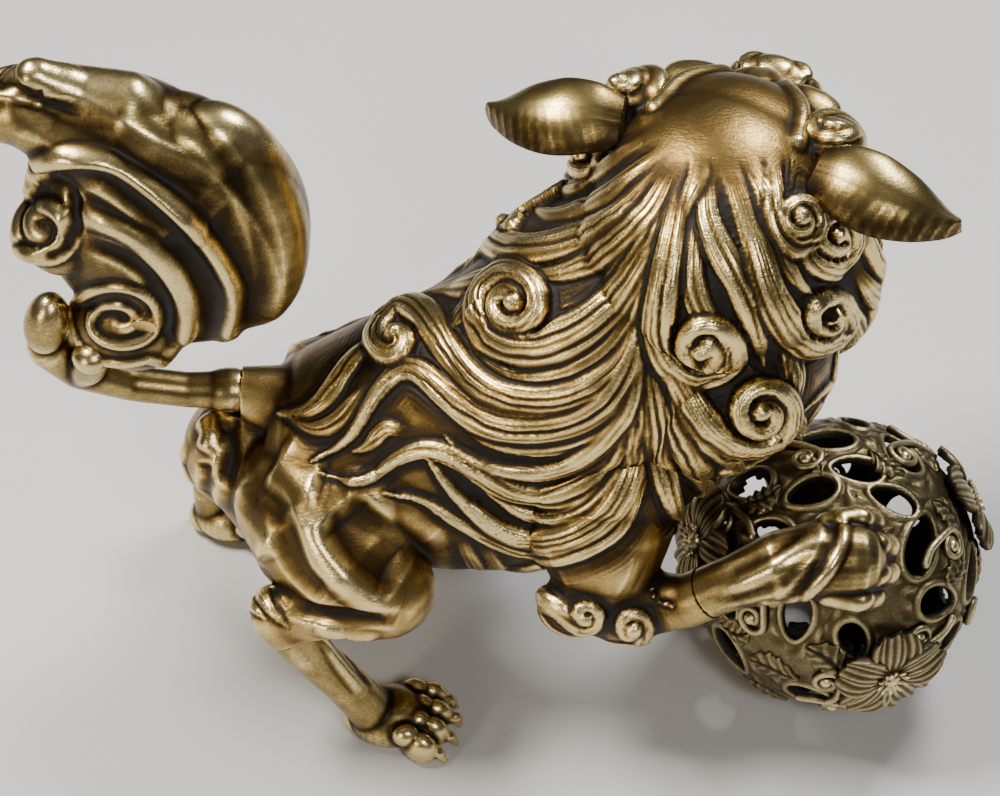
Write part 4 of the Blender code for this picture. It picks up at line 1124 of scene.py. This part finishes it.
def make_body():
    """Fuses the trunk, the mane and the head, cuts muscles and hair into them, and parts them again."""

    def build_all(bm):
        build_trunk(bm)
        build_mane_mass(bm)
        build_head(bm)

    body = fused(build_all, BODY_VOXEL, smooth=34)
    tree = body.tree()
    form = forms_of(body.points)
    plain = body.points.copy()
    drawn_strokes(body, tree, MUSCLES, sides=(1, -1), sharp=SOFT)
    drawn_strokes(body, tree, FAR_HIP, sharp=SOFT)
    fade_at_seams(body, plain)
    facing = (body.points - np.array(HEAD_AT)) @ np.array(FORWARD)
    face = np.clip((facing - 12) / 8, 0, 1) * (form == OF_HEAD)
    for path, radius, height in FACE_STROKES:
        for side in (1, -1):
            drawn = [(side * x, s) for x, s in spline(path, 2)]
            body.stroke(FACE.cast(drawn, tree), radius, height)
    relief(body, all_locks(tree), (1 - face) * off_crown(body.points) * off_seams(body.points))
    for name in SEAMS:
        flattened(body.points, *seam_of(name), SEAM_REACH)
    clear_of_ball(body.points)
    axis = np.array(TAIL_AXIS) / np.linalg.norm(TAIL_AXIS)
    socketed(body.points, np.array(TAIL_AT), axis, TAIL_SEAT, *TAIL_SOCKET)
    body.paint_patina_and_shade()
    make_castings(body, form)


# ---------------------------------------------------------------- legs
TOES = (-1.5, -0.5, 0.5, 1.5)
PALM_TOES = [(4.5, -11.2), (9, -3.9), (9, 3.9), (4.5, 11.2)]  # ahead of the stud, and to its side
LEG_FOLDS = [
    ([(68, -73), (86, -70), (104, -66)], 3.4, 0.6),
    ([(68, -69), (86, -65), (101, -59)], 3.4, -0.5),
    ([(76, -64), (92, -56), (106, -46)], 4.5, 0.8),
    ([(74, -61), (90, -52), (102, -43)], 4.0, -0.5),
    ([(114, -36), (114.5, -48), (108, -60), (99, -70)], 3.0, 0.9),
    ([(109, -36), (110, -48), (104, -59), (95, -68)], 3.6, -0.8),
    ([(-62, -76), (-54, -88), (-46, -98)], 3.4, 0.9),
    ([(-56, -76), (-49, -88), (-42, -97)], 3.2, -0.8),
]


def add_paw(bm, x, y, heading):
    """A standing paw: instep, four toes with knuckles, and their claws."""
    f = Matrix.Translation((x, y, 0)) @ Matrix.Rotation(math.radians(heading), 4, "Z")
    add_ellipsoid(bm, (-2, 0, 8), (15, 12, 10), frame=f)
    add_ellipsoid(bm, (-13, 0, 6), (6, 7, 6), frame=f)
    for spread in TOES:
        reach = 13 - 1.4 * abs(spread) ** 2
        side = spread * 7.4
        add_ellipsoid(bm, (reach, side, 6.5), (6.5, 4.3, 6.8), turn=(0, 0, spread * 9), frame=f)
        add_ellipsoid(bm, (reach - 5, side * 0.9, 11), (5, 4, 4.6), frame=f)
        claw = [
            (reach + 3, side, 7.5, 2.6),
            (reach + 7, side * 1.05, 5, 2.1),
            (reach + 9, side * 1.08, 1.6, 1.1),
        ]
        add_loft(bm, claw, f, segments=14)


def over_ball(ahead, side, height):
    """A point over the ball, that far ahead of the stud, to its side and off the ball's surface."""
    return ball_frame() @ (Vector((ahead, side, BALL_RADIUS)).normalized() * (BALL_RADIUS + height))


def build_foreleg_right(bm):
    add_loft(bm, limb_part("foreleg_right_lower", lower=True))
    add_loft(bm, [FOREARM_RIGHT[-1], (*over_ball(-8, 0, 10), 13), (*over_ball(-1, 0, 8.5), 12.5)])
    for ahead, side in PALM_TOES:
        toe = [
            (*over_ball(ahead - 11, side * 0.75, 11), 5.6),
            (*over_ball(ahead - 3, side * 0.96, 9.6), 5.2),
            (*over_ball(ahead + 2, side, 5.6), 4.4),
        ]
        add_loft(bm, toe)
        add_ellipsoid(bm, over_ball(ahead - 2.5, side * 0.97, 10.6), (4.8, 4.2, 4.2))
        claw = [
            (*over_ball(ahead + 3, side * 1.02, 5.8), 2.4),
            (*over_ball(ahead + 5.5, side * 1.04, 4.2), 2.0),
            (*over_ball(ahead + 7, side * 1.06, 1.6), 1.0),
        ]
        add_loft(bm, claw, segments=14)


# Place and heading of the standing paws.
PAWS = {
    "foreleg_left_lower": (36, 60, 5),
    "hindleg_right_lower": (-36, -49, -8),
    "hindleg_left_lower": (-97, 46, -4),
}


def make_legs():
    for name in SEAMS:

        def build_standing(bm, name=name):
            add_loft(bm, limb_part(name, lower=True))
            add_paw(bm, *PAWS[name])

        skin = fused(build_standing if name in PAWS else build_foreleg_right, LIMB_VOXEL, smooth=4)
        if name.endswith("right_lower"):
            plain = skin.points.copy()
            drawn_strokes(skin, skin.tree(), LEG_FOLDS)
            fade_at_seams(skin, plain)
        point, along = seam_of(name)
        flattened(skin.points, point + along * SEAM_GAP, -along, SEAM_REACH)
        if name in PAWS:
            skin.points[:, 2] = np.maximum(skin.points[:, 2], 0)
        else:
            clear_of_ball(skin.points, BALL_RADIUS + 0.6)
        skin.paint_patina_and_shade(fine=0.12, broad=0.7)
        piece(skin, name + "_skin", "statue", RUBBED, [name])


# ---------------------------------------------------------------- ears
def ear(side):
    """A cupped leaf with short hairs combed towards its lower edge."""
    stations = spline(EAR, 1.0)
    frame = head_frame()
    points, patina_and_shade = [], []
    around = 56
    normal = np.array(EAR_FACING) / np.linalg.norm(EAR_FACING)
    for k, (out, forward, up, thick, wide) in enumerate(stations):
        centre = np.array(EAR_ROOT) * (side, 1, 1) + np.array((side * out, forward, up))
        ahead = stations[min(k + 1, len(stations) - 1)][:3] - stations[max(k - 1, 0)][:3]
        ahead = ahead * (side, 1, 1) / np.linalg.norm(ahead)
        across = np.cross(ahead, normal)
        across /= np.linalg.norm(across)
        share = k / (len(stations) - 1)
        for j in range(around):
            angle = 2 * math.pi * j / around
            v, rise = math.cos(angle), math.sin(angle)
            lower = v * side
            combed = 0.5 * max(0, math.cos(out * 1.9 + 7 * lower)) ** 2
            hairs = combed * min(1, max(0, lower + 0.1) * 1.6) * share
            lift = thick * math.copysign(abs(rise) ** 0.9, rise) - 3.4 * v * v * min(1, share * 2)
            lift += 2.0 * math.sin(3.1 * share)
            if rise > 0:
                lift += hairs - 0.5 * math.exp(-((v / 0.10) ** 2)) * (1 - share)
            points.append(frame @ Vector(centre + across * wide * v + normal * lift))
            # Painted shade: the ear's back and its root, where it meets the head, are darker; its lower
            # half is darker too, and its hairs lighter.
            behind = 0.25 if rise < 0 else 0
            root = 0.3 * max(0, 0.18 - share) / 0.18
            patina_and_shade.append(0.14 + 0.34 * max(0, lower) - 0.7 * hairs + behind + root)
    rings = np.arange(len(stations) * around).reshape(-1, around).tolist()
    faces = []
    for a, b in zip(rings, rings[1:]):
        faces += [(a[j], a[(j + 1) % around], b[(j + 1) % around], b[j]) for j in range(around)]
    faces += [rings[0][::-1], rings[-1]]
    if side < 0:
        faces = [f[::-1] for f in faces]
    return Skin(points, faces, patina_and_shade)


def make_ears():
    for side, name in ((-1, "left"), (1, "right")):
        skin = ear(side)
        piece(skin, f"ear_{name}_skin", "statue", RUBBED, [f"ear_{name}"])


# ---------------------------------------------------------------- eyes and teeth
# In the head's frame: foot, tip and radius at the foot of the teeth on one side.
TEETH = [
    ((16, 55, -19), (15, 57, -31), 3.2), ((10.5, 53, -36), (11, 54.5, -25), 2.8),
    ((2.6, 62, -15), (2.6, 62.5, -22), 2.3), ((7.6, 60.5, -16), (7.6, 61, -23), 2.3),
    ((2.2, 55, -35), (2.2, 56, -29), 2.0), ((6.4, 54.5, -35), (6.4, 55.5, -29), 2.0),
    ((20.5, 47, -21), (20, 47.5, -27), 2.4), ((22.5, 40, -21), (22, 40.5, -27), 2.4),
    ((16.5, 45, -36), (16.5, 45.5, -30), 2.2), ((19.5, 38, -35), (19.5, 38.5, -29), 2.2),
]
GAZE = (0.25, 0.95, -0.1)
PUPIL = 0.34  # its half angle, and the half angle of the ring round it
IRIS = 0.72


def make_teeth():
    bm = bmesh.new()
    for side in (-1, 1):
        for foot, tip, radius in TEETH:
            (x, y, z), (tip_x, tip_y, tip_z) = foot, tip
            middle = ((x + tip_x) / 2 * side, (y + tip_y) / 2 + 0.6, (z + tip_z) / 2, radius * 0.82)
            tooth = [(x * side, y, z, radius), middle, (tip_x * side, tip_y, tip_z, radius * 0.32)]
            add_loft(bm, tooth, head_frame(), side_hint=(1, 0, 0), segments=20)
    skin = skin_of_forms(bm)
    skin.patina_and_shade[:] = 0.2
    piece(skin, "teeth", "statue", ENAMEL)


def make_eyes():
    """Round eyes with a sunk pupil and a fine ring round it."""
    direction, quads = cube_sphere(40)
    for side, name in ((-1, "left"), (1, "right")):
        gaze = Vector((side * GAZE[0], *GAZE[1:])).normalized()
        away = np.arccos(np.clip(direction @ np.array(gaze), -1, 1))
        sink = np.clip((PUPIL - away) / 0.08, 0, 1)
        ring = np.exp(-(((away - IRIS) / 0.05) ** 2))
        reach = EYE_RADIUS - 0.9 * sink - 0.35 * ring
        local = np.array((side * EYE_AT[0], *EYE_AT[1:])) + direction * reach[:, None]
        turn = rotation(head_frame())
        points = local @ turn.T + np.array(HEAD_AT)
        # The sunk pupil and the ring round it are painted darker, as patina and painted shade.
        skin = Skin(points, quads.tolist(), 0.25 + 0.6 * sink + 0.4 * ring)
        skin.turn_out(direction @ turn.T)
        piece(skin, f"eye_{name}_bead", "statue", DARK, [f"eye_{name}"])


# ---------------------------------------------------------------- tail
PLUME_DEPTH = 1.8
# Ridges and hollows of the plume: drawn path, radius and height.
PLUME_STROKES = [
    ([(-170, 100), (-150, 94), (-136, 87), (-124, 80), (-111, 73), (-98, 63), (-88, 50), (-83, 36), (-84,
       22), (-92, 10)], 9.0, -2.6),
    ([(-172, 112), (-136, 106), (-112, 103), (-96, 98), (-84, 87), (-76, 74), (-71, 60), (-70, 46), (-72,
       33), (-79, 22), (-90, 12)], 12.0, 2.2),
    ([(-104, 92), (-94, 82), (-85, 69), (-79, 54), (-77, 40), (-80, 26)], 5.0, -0.9),
    ([(-150, 73), (-134, 72.5), (-122, 65.5), (-110, 55), (-101, 44), (-95.5, 33), (-96, 22), (-103, 12)],
     6.5, -2.8),
    ([(-144, 62), (-133, 59), (-121, 53), (-111, 43), (-105, 32), (-105, 21), (-112, 12)], 5.5, 2.4),
    ([(-138, 52), (-124, 46), (-115, 38), (-110, 29), (-110, 20)], 4.5, -1.6),
    ([(-144, 71), (-141, 62), (-145, 51), (-154, 46)], 3.6, -2.0),
    ([(-178, 106), (-166, 104), (-152, 100), (-138, 95)], 3.4, -1.2),
    ([(-178, 113), (-166, 113), (-150, 110), (-134, 107)], 3.0, 1.0),
]
# Ridges that wind into a curl: drawn path, the curl's middle, its turns and squash, radius and height.
PLUME_SCROLLS = [
    ([(-97, 12), (-90, 20), (-87, 32), (-92, 43), (-100, 54), (-109, 63), (-122, 73), (-135, 79), (-150,
       79), (-157, 74), (-160, 66)], (-152, 57), 1.5, 1.0, 5.2, 3.2),
    ([(-98, 10), (-108, 11), (-118, 13)], (-127, 26), -2.1, 0.74, 2.9, 2.0),
]


def build_plume(bm):
    centre, radii = PLUME_BODY
    add_ellipsoid(bm, centre, [r - PLUME_DEPTH for r in radii], turn=(0, -12, 0), segments=48)
    add_loft(bm, inset(PLUME_TIP, PLUME_DEPTH))
    for place, radius in PLUME_CURLS:
        add_ellipsoid(bm, place, (radius - 1, radius * 0.8 - 1, radius - 1))
    add_loft(bm, [(-128, -1, 246, 8), (-136, -2, 253, 5), (-139, -2, 257, 3.4)])


def build_stem(bm):
    add_loft(bm, STEM)
    add_loft(bm, [(-89, 2, 119, 7.6), (-92, 2, 119, 7.4)])
    add_ellipsoid(bm, (-145, -9, 161), (7.5, 7.5, 12.5), turn=(0, 14, 0))
    add_ellipsoid(bm, (-131, -15, 152), (6.5, 6.5, 5.5))
    add_loft(bm, [(-138, -2, 133, 6.5), (-134, -8, 140, 6), (-131, -12, 148, 5.5)])
    axis = Vector(TAIL_AXIS).normalized()
    add_loft(bm, [(*(Vector(TAIL_AT) - axis * 12), 4), (*(Vector(TAIL_AT) + axis * 6), 4)])


def make_tail():
    plume = fused(build_plume, PLUME_VOXEL, smooth=10)
    tree = plume.tree()
    strokes = [(spline(points, 1.5), radius, height) for points, radius, height in PLUME_STROKES]
    for points, curl, turns, squash, radius, height in PLUME_SCROLLS:
        start = np.array(points[-1]) - curl
        coil = spiral(start / (1, squash), (0, 0), turns, 1.5) * (1, squash) + curl
        strokes.append((np.vstack([spline(points, 1.5), coil]), radius, height))
    for path, radius, height in strokes:
        path = SIDE.cast(path, tree)
        for side in (path, mirrored_onto(path, tree)):
            plume.stroke(side, radius, height, SOFT)
    plume.paint_patina_and_shade(broad=1.3)
    piece(plume, "tail_plume_skin", "tail", RUBBED, ["tail_plume"])
    stem = fused(build_stem, LIMB_VOXEL, smooth=5)
    stem.paint_patina_and_shade()
    piece(stem, "tail_stem_skin", "tail", RUBBED, ["tail_stem"])


# ---------------------------------------------------------------- openwork ball
# Polar angle, azimuth, half length, half width and turn of the openings, as in the CAD part.
OPENINGS = [
    (31, 11, 9, 5.5, 60), (44, -24, 7, 5, 20), (31, 51, 7, 4, 110), (38, 82, 7, 4.5, 90),
    (31, 117, 7, 4.5, 80), (31, -131, 7, 4.5, 30), (74, -140, 8, 5, 60), (66, -5, 8, 5, 90),
    (56, 97, 8, 5, 80), (58, 60, 8, 5.5, 40), (70, -102, 7, 4.5, 70), (54, 140, 7, 5, 30),
    (56, -165, 8, 5, 90), (76, 128, 6, 4.5, 60), (32, 160, 6, 4, 0), (33, -85, 6, 4, 20),
    (76, 82, 6, 4, 20), (34, -165, 6, 4, 90), (66, -34, 5, 4, 80),
]
for ring_polar, ring_count in ((108, 9), (134, 7), (158, 4)):
    OPENINGS += [(ring_polar, 360 / ring_count * k + ring_polar, 8, 6, 0) for k in range(ring_count)]
FLOWERS = {"front": (54, -68), "side": (80, 25), "back": (68, 172)}
FLOWER_REACH = 19.5
PETAL_TOP = 56.4  # the petals stay within this distance of the ball's centre
STUD_CLEARANCE = 3.4


def from_openings(direction):
    """For unit vectors in the ball's own axes: the signed distance in mm, roughly, from the nearest
    opening's edge, and the heading from that opening's middle."""
    best = np.full(len(direction), 1e9)
    spokes = np.zeros(len(direction))
    home = rotation(ball_frame()).T
    for polar, azimuth, length, width, turn in OPENINGS:
        axes = home @ rotation(ball_frame(polar, azimuth) @ Matrix.Rotation(math.radians(turn), 4, "Z"))
        local = direction @ axes * BALL_RADIUS
        a, b = local[:, 0] / (length * 1.2), local[:, 1] / (width * 1.28)
        narrow = 1 - 0.32 * (0.5 + 0.5 * np.clip(a, -1, 1))
        ratio = np.sqrt(a**2 + (b / narrow) ** 2)
        gap = (ratio - 1) * np.hypot(length * a, width * b) / np.maximum(ratio, 0.2)
        gap = np.where(local[:, 2] > 0, gap, 1e9)
        closer = gap < best
        best[closer] = gap[closer]
        spokes[closer] = np.arctan2(b, a)[closer]
    pole = np.arccos(np.clip(direction[:, 2], -1, 1)) * BALL_RADIUS - STUD_CLEARANCE
    best = np.where(pole < best, pole, best)
    return best, spokes


def grid_quads(index):
    """The quads of a grid of point numbers."""
    return np.stack([index[:-1, :-1], index[1:, :-1], index[1:, 1:], index[:-1, 1:]], -1).reshape(-1, 4)


def cube_sphere(count):
    """Unit vectors and quads of a sphere whose equator is a line of the grid."""
    angle = np.tan(np.linspace(-math.pi / 4, math.pi / 4, count + 1))
    u, v = np.meshgrid(angle, angle, indexing="ij")
    points, faces = [], []
    for axis in range(3):
        for sign in (1, -1):
            grid = np.empty(u.shape + (3,))
            grid[..., axis] = sign
            grid[..., (axis + 1) % 3] = u * sign
            grid[..., (axis + 2) % 3] = v
            start = sum(len(p) for p in points)
            index = np.arange(grid[..., 0].size).reshape(u.shape) + start
            points.append(grid.reshape(-1, 3))
            faces.append(grid_quads(index))
    points, faces = unit(np.vstack(points)), np.vstack(faces)
    _, first, inverse = np.unique(np.round(points, 6), axis=0, return_index=True, return_inverse=True)
    return points[first], inverse.reshape(-1)[faces]


def shell_half(upper):
    """Half the ball's wall, with a chased bead and a fanned leaf round each opening."""
    direction, quads = cube_sphere(116)
    middle = direction[quads].mean(1)[:, 2]
    quads = quads[middle > 0] if upper else quads[middle < 0]
    gap, _ = from_openings(direction)
    quads = quads[(gap[quads] > 0).any(1)]
    used = np.unique(quads)
    index = np.full(len(direction), -1)
    index[used] = np.arange(len(used))
    direction, quads = direction[used], index[quads]
    # Corners inside an opening slide out to its edge, along a slope that small steps measure.
    step = 0.004
    for _ in range(3):
        gap, _ = from_openings(direction)
        low = np.flatnonzero(gap < 0.0)
        slope = np.empty((len(low), 3))
        for axis in range(3):
            nudged = direction[low].copy()
            nudged[:, axis] += step
            slope[:, axis] = (from_openings(unit(nudged))[0] - gap[low]) / step
        move = -gap[low][:, None] * slope / np.maximum((slope**2).sum(1), 1e-6)[:, None]
        move *= np.minimum(1, 0.03 / np.maximum(np.linalg.norm(move, axis=1), 1e-9))[:, None]
        keep_z = np.abs(direction[low][:, 2]) < 1e-6
        move[keep_z, 2] = 0
        direction[low] = unit(direction[low] + move)
    gap, spokes = from_openings(direction)
    bead = np.exp(-(((gap - 0.9) / 0.75) ** 2))
    veins = np.cos(spokes * 9 + 0.5 * gap)
    fan = np.clip(gap - 1.8, 0, 2.2) / 2.2 * np.clip(7 - gap, 0, 3) / 3
    swirl = np.cos(0.9 * gap + 3 * spokes)
    line = np.exp(-(((gap - 2.3) / 0.5) ** 2))
    height = 0.75 * bead + fan * (0.42 * veins + 0.25 * swirl) - 0.35 * line
    turn = rotation(ball_frame())
    outward = direction @ turn.T
    points = BALL_AT + outward * (BALL_RADIUS - 0.4 + height)[:, None]
    points += turn[:, 2] * (0.15 if upper else -0.15)
    # Lower places and the openings' edges are painted darker, as patina and painted shade.
    patina_and_shade = np.clip(0.40 - 0.34 * height + 0.25 * (gap < 0.15), 0, 1)
    skin = Skin(points, quads.tolist(), patina_and_shade)
    skin.turn_out(outward)
    return thickened(skin, BALL_WALL - 0.6, -outward)


def sheet(rows, columns, place, wall=1.2):
    """A closed petal or leaf: place(a, b) gives the point and its patina and painted shade at a from 0 to
    1, b from -1 to 1.
    """
    points, patina_and_shade = [], []
    for i in range(rows):
        for j in range(columns):
            point, hollow = place(i / (rows - 1), 2 * j / (columns - 1) - 1)
            points.append(point)
            patina_and_shade.append(hollow)
    index = np.arange(rows * columns).reshape(rows, columns)
    skin = Skin(points, grid_quads(index).tolist(), patina_and_shade)
    outward = unit(np.array(points) - BALL_AT)
    skin.turn_out(outward)
    return thickened(skin, wall, -outward)


def drop(centre, towards, radius, length):
    """A small bead drawn out along a direction."""
    bm = bmesh.new()
    turn = Vector(towards).to_track_quat("Z", "Y").to_matrix().to_4x4()
    place = Matrix.Translation(Vector(centre)) @ turn @ Matrix.Diagonal((radius, radius, length, 1))
    bmesh.ops.create_uvsphere(bm, u_segments=12, v_segments=8, radius=1, matrix=place)
    skin = skin_of_forms(bm)
    skin.patina_and_shade[:] = 0.05
    return skin


def flower(polar, azimuth):
    """Five rippled petals with radial ribs round a cluster of stamens."""
    frame = ball_frame(polar, azimuth)
    skins = []
    for k in range(5):
        heading = math.radians(72 * k + 18)
        along = Vector((math.cos(heading), math.sin(heading), 0))
        across = Vector((-math.sin(heading), math.cos(heading), 0))
        tilt = 0.5 if k % 2 else 0.0

        def place(a, b, along=along, across=across, tilt=tilt):
            half = 11.6 * math.sin(math.pi * min(1, 0.10 + 0.90 * a**0.8) * 0.80) ** 0.75
            notch = 1 - 0.09 * b * b + 0.045 * math.cos(3 * math.pi * b)
            reach = (1.5 + (FLOWER_REACH - 1.5) * a) * (notch if a > 0.3 else 1)
            ribs = math.cos(b * math.pi * 7)
            cup = 52.4 + tilt + 2.2 * math.sin(math.pi * a * 0.85) + 0.6 * a * math.cos(2.6 * math.pi * b)
            cup -= 0.8 * (BALL_RADIUS - math.sqrt(BALL_RADIUS**2 - reach**2))
            height = min(cup + 0.26 * ribs * min(1, 2 * a), math.sqrt(PETAL_TOP**2 - reach**2))
            sideways = half * b * (0.55 + 0.45 * a)
            point = frame @ (along * reach + across * sideways + Vector((0, 0, height)))
            # Darker between the ribs and at the petals' base: patina and painted shade.
            return point, 0.34 - 0.2 * ribs + 0.35 * max(0, 0.3 - a) / 0.3

        skins.append(sheet(22, 41, place, 1.8))
    skins.append(drop(frame @ Vector((0, 0, 53.2)), frame.to_3x3() @ Vector((0, 0, 1)), 3.2, 2.2))
    for count, radius, height in ((5, 2.2, 55.0), (10, 4.6, 54.6)):
        for k in range(count):
            heading = 2 * math.pi * (k + 0.5 * (count == 10)) / count
            at = Vector((radius * math.cos(heading), radius * math.sin(heading), height))
            lean = Vector((math.cos(heading), math.sin(heading), 0.45))
            skins.append(drop(frame @ at, frame.to_3x3() @ lean, 0.75, 1.6))
    return merged(skins)


# Polar angle, azimuth, heading, length and half width of the leaves on the ball.
LEAVES = [
    (44, -62, 150, 17, 6), (44, -100, 60, 20, 6.5), (74, -46, 200, 20, 6.5), (80, -82, 20, 21, 7),
    (60, -122, 110, 19, 6), (48, -4, 250, 15, 5), (50, 22, 300, 17, 5), (72, 48, 30, 18, 6),
    (46, 66, 80, 15, 5), (44, 108, 200, 15, 5), (66, 112, 20, 17, 6), (44, 142, 60, 15, 5),
    (84, 148, 160, 18, 6), (82, -162, 240, 19, 6), (58, -148, 330, 15, 5), (90, 0, 90, 17, 6),
    (94, 64, 280, 18, 6), (92, -118, 100, 18, 6), (96, 108, 120, 18, 6),
]
for ring_polar, ring_count in ((121, 9), (146, 6)):
    LEAVES += [(ring_polar, 360 / ring_count * k + 20, 35 + 70 * k, 17, 6) for k in range(ring_count)]


def leaf(polar, azimuth, heading, length, half_width):
    """A serrated leaf laid on the ball, with a sunk midrib and side veins."""
    frame = ball_frame(polar, azimuth) @ Matrix.Rotation(math.radians(heading), 4, "Z")

    def place(a, b):
        teeth = 1 + 0.16 * math.cos(10 * math.pi * a)
        half = half_width * max(math.sin(math.pi * a), 0.0) ** 0.75 * teeth * (1.15 - 0.4 * a)
        x = length * (a - 0.5)
        y = half * b + 2.0 * math.sin(math.pi * a * 1.2)
        vein = math.cos(10 * math.pi * (a + 0.22 * abs(b)))
        rib = math.exp(-((b / 0.14) ** 2))
        plump = (1 - b * b) ** 0.6 if abs(b) < 1 else 0.0
        arch = math.sin(math.pi * min(max(a, 0), 1)) ** 0.5
        height = 50.2 + 1.3 * plump * arch + 0.28 * vein * plump - 0.7 * rib
        direction = Vector((x, y, BALL_RADIUS)).normalized()
        # Darker in the sunk midrib and between the veins: patina and painted shade.
        return frame @ (direction * height), 0.36 - 0.16 * vein * plump + 0.5 * rib

    return sheet(31, 21, place, 1.4)


VINE_STEM = [(-2.6, -0.9), (-1.6, -1.2), (-0.4, -1), (0.75, -0.6), (1, 0)]


def vine(polar, azimuth, heading, size, hand):
    """A stem on the ball that winds into a scroll with a bead in its eye."""
    frame = ball_frame(polar, azimuth) @ Matrix.Rotation(math.radians(heading), 4, "Z")
    path = spline([(x * size, y * size * hand) for x, y in VINE_STEM])
    path = np.vstack([path, spiral(path[-1], (0, 0), 1.2 * hand, 0.7)])
    centre = [frame @ (Vector((x, y, BALL_RADIUS)).normalized() * (BALL_RADIUS + 0.7)) for x, y in path]
    stations = [(*point, 1.55 - 0.5 * k / (len(centre) - 1)) for k, point in enumerate(centre)]
    up = frame.to_3x3() @ Vector((0, 0, 1))
    bm = bmesh.new()
    add_loft(bm, stations, side_hint=up, segments=10)
    skin = skin_of_forms(bm)
    height = np.linalg.norm(skin.points - BALL_AT, axis=1) - BALL_RADIUS
    # Darker where the stem nears the ball: painted shade under it, and patina.
    skin.patina_and_shade = np.clip(0.75 - 0.33 * height, 0.05, 0.9)
    return merged([skin, drop(centre[-1], up, 2.2, 1.7)])


def above_floor(skin):
    """Sinks what would strike the floor as the ball turns."""
    axis = ball_frame().to_3x3() @ Vector((0, 0, 1))
    lowest = math.pi - math.acos(axis.z)
    rel = skin.points - BALL_AT
    radius = np.linalg.norm(rel, axis=1)
    polar = np.arccos(np.clip(rel @ np.array(axis) / radius, -1, 1))
    limit = (BALL_AT[2] - 0.05) / np.maximum(np.cos(polar - lowest), 0.5)
    skin.points = BALL_AT + rel * np.minimum(1, limit / radius)[:, None]
    return skin


def make_ball():
    for upper, name in ((True, "ball_upper_shell"), (False, "ball_lower_shell")):
        skin = above_floor(shell_half(upper))
        piece(skin, name + "_openwork", "ball", PALE, [name])
    for side, place in FLOWERS.items():
        name = "ball_flower_" + side
        piece(flower(*place), name + "_petals", "ball", PALE, [name])
    upper, lower = [], []
    for entry in LEAVES:
        (upper if entry[0] <= 90 else lower).append(leaf(*entry))
    for k in range(7):
        upper.append(vine(46 + 9 * (k % 2), 51 * k + 8, 40 + 97 * k, 5.4, 1 if k % 2 else -1))
        lower.append(vine(116 + 24 * (k % 2), 51 * k + 30, 15 + 83 * k, 5.4, 1 if k % 2 else -1))
    for k in range(5):
        upper.append(vine(77, 72 * k - 20, 200 + 61 * k, 4.8, 1 if k % 2 else -1))
    piece(merged(upper), "ball_upper_foliage", "ball", PALE)
    piece(above_floor(merged(lower)), "ball_lower_foliage", "ball", PALE)


# ---------------------------------------------------------------- stage
def make_light(name, place, size, power, aim=(0, 0, 0.1), tint=(1, 1, 1)):
    data = bpy.data.lights.new(name, "AREA")
    data.shape = "RECTANGLE"
    data.size, data.size_y = size
    data.energy = power
    data.color = tint
    light = bpy.data.objects.new(name, data)
    light.location = place
    light.rotation_euler = (Vector(aim) - Vector(place)).to_track_quat("-Z", "Y").to_euler()
    bpy.context.scene.collection.objects.link(light)


CAMERA_LENS = 102.6


def make_stage():
    bm = bmesh.new()
    bmesh.ops.create_grid(bm, x_segments=2, y_segments=2, size=4.0)
    mesh = bpy.data.meshes.new("floor")
    bm.to_mesh(mesh)
    bm.free()
    floor = linked(mesh, "floor")
    material = bpy.data.materials.new("floor_pale")
    material.use_nodes = True
    shader = material.node_tree.nodes["Principled BSDF"]
    shader.inputs["Base Color"].default_value = (0.62, 0.61, 0.59, 1)
    shader.inputs["Roughness"].default_value = 0.85
    mesh.materials.append(material)
    world = bpy.data.worlds.new("studio")
    bpy.context.scene.world = world
    world.use_nodes = True
    world.node_tree.nodes["Background"].inputs["Color"].default_value = (0.20, 0.205, 0.22, 1)
    world.node_tree.nodes["Background"].inputs["Strength"].default_value = 0.2
    make_light("key", (-0.45, 0.05, 1.05), (0.34, 0.24), 17, tint=(1, 0.97, 0.92))
    make_light("window", (0.50, 0.45, 0.95), (0.36, 0.20), 11, tint=(0.96, 0.98, 1))
    make_light("low", (-0.8, -0.9, 0.45), (0.16, 0.4), 4, tint=(1, 0.9, 0.75))
    make_light("front", (0.30, -0.85, 0.95), (0.22, 0.22), 5)
    data = bpy.data.cameras.new("camera")
    data.sensor_width = 36
    data.lens = CAMERA_LENS
    camera = bpy.data.objects.new("camera", data)
    camera.location = Vector((EYE + SHIFT) * MM)
    camera.rotation_euler = Vector(-TOWARDS_EYE).to_track_quat("-Z", "Y").to_euler()
    bpy.context.scene.collection.objects.link(camera)
    bpy.context.scene.camera = camera


def dress_cad_nodes():
    """Better materials, through their slots, for the CAD nodes that stay in sight."""
    for name, obj in frame["nodes"].items():
        if name.startswith("eye"):
            look = DARK
        elif "shell" in name or "flower" in name:
            look = PALE
        else:
            look = DRAWN
        for slot in obj.material_slots:
            slot.material = look


make_body()
make_legs()
make_ears()
make_eyes()
make_teeth()
make_tail()
make_ball()
dress_cad_nodes()
make_stage()
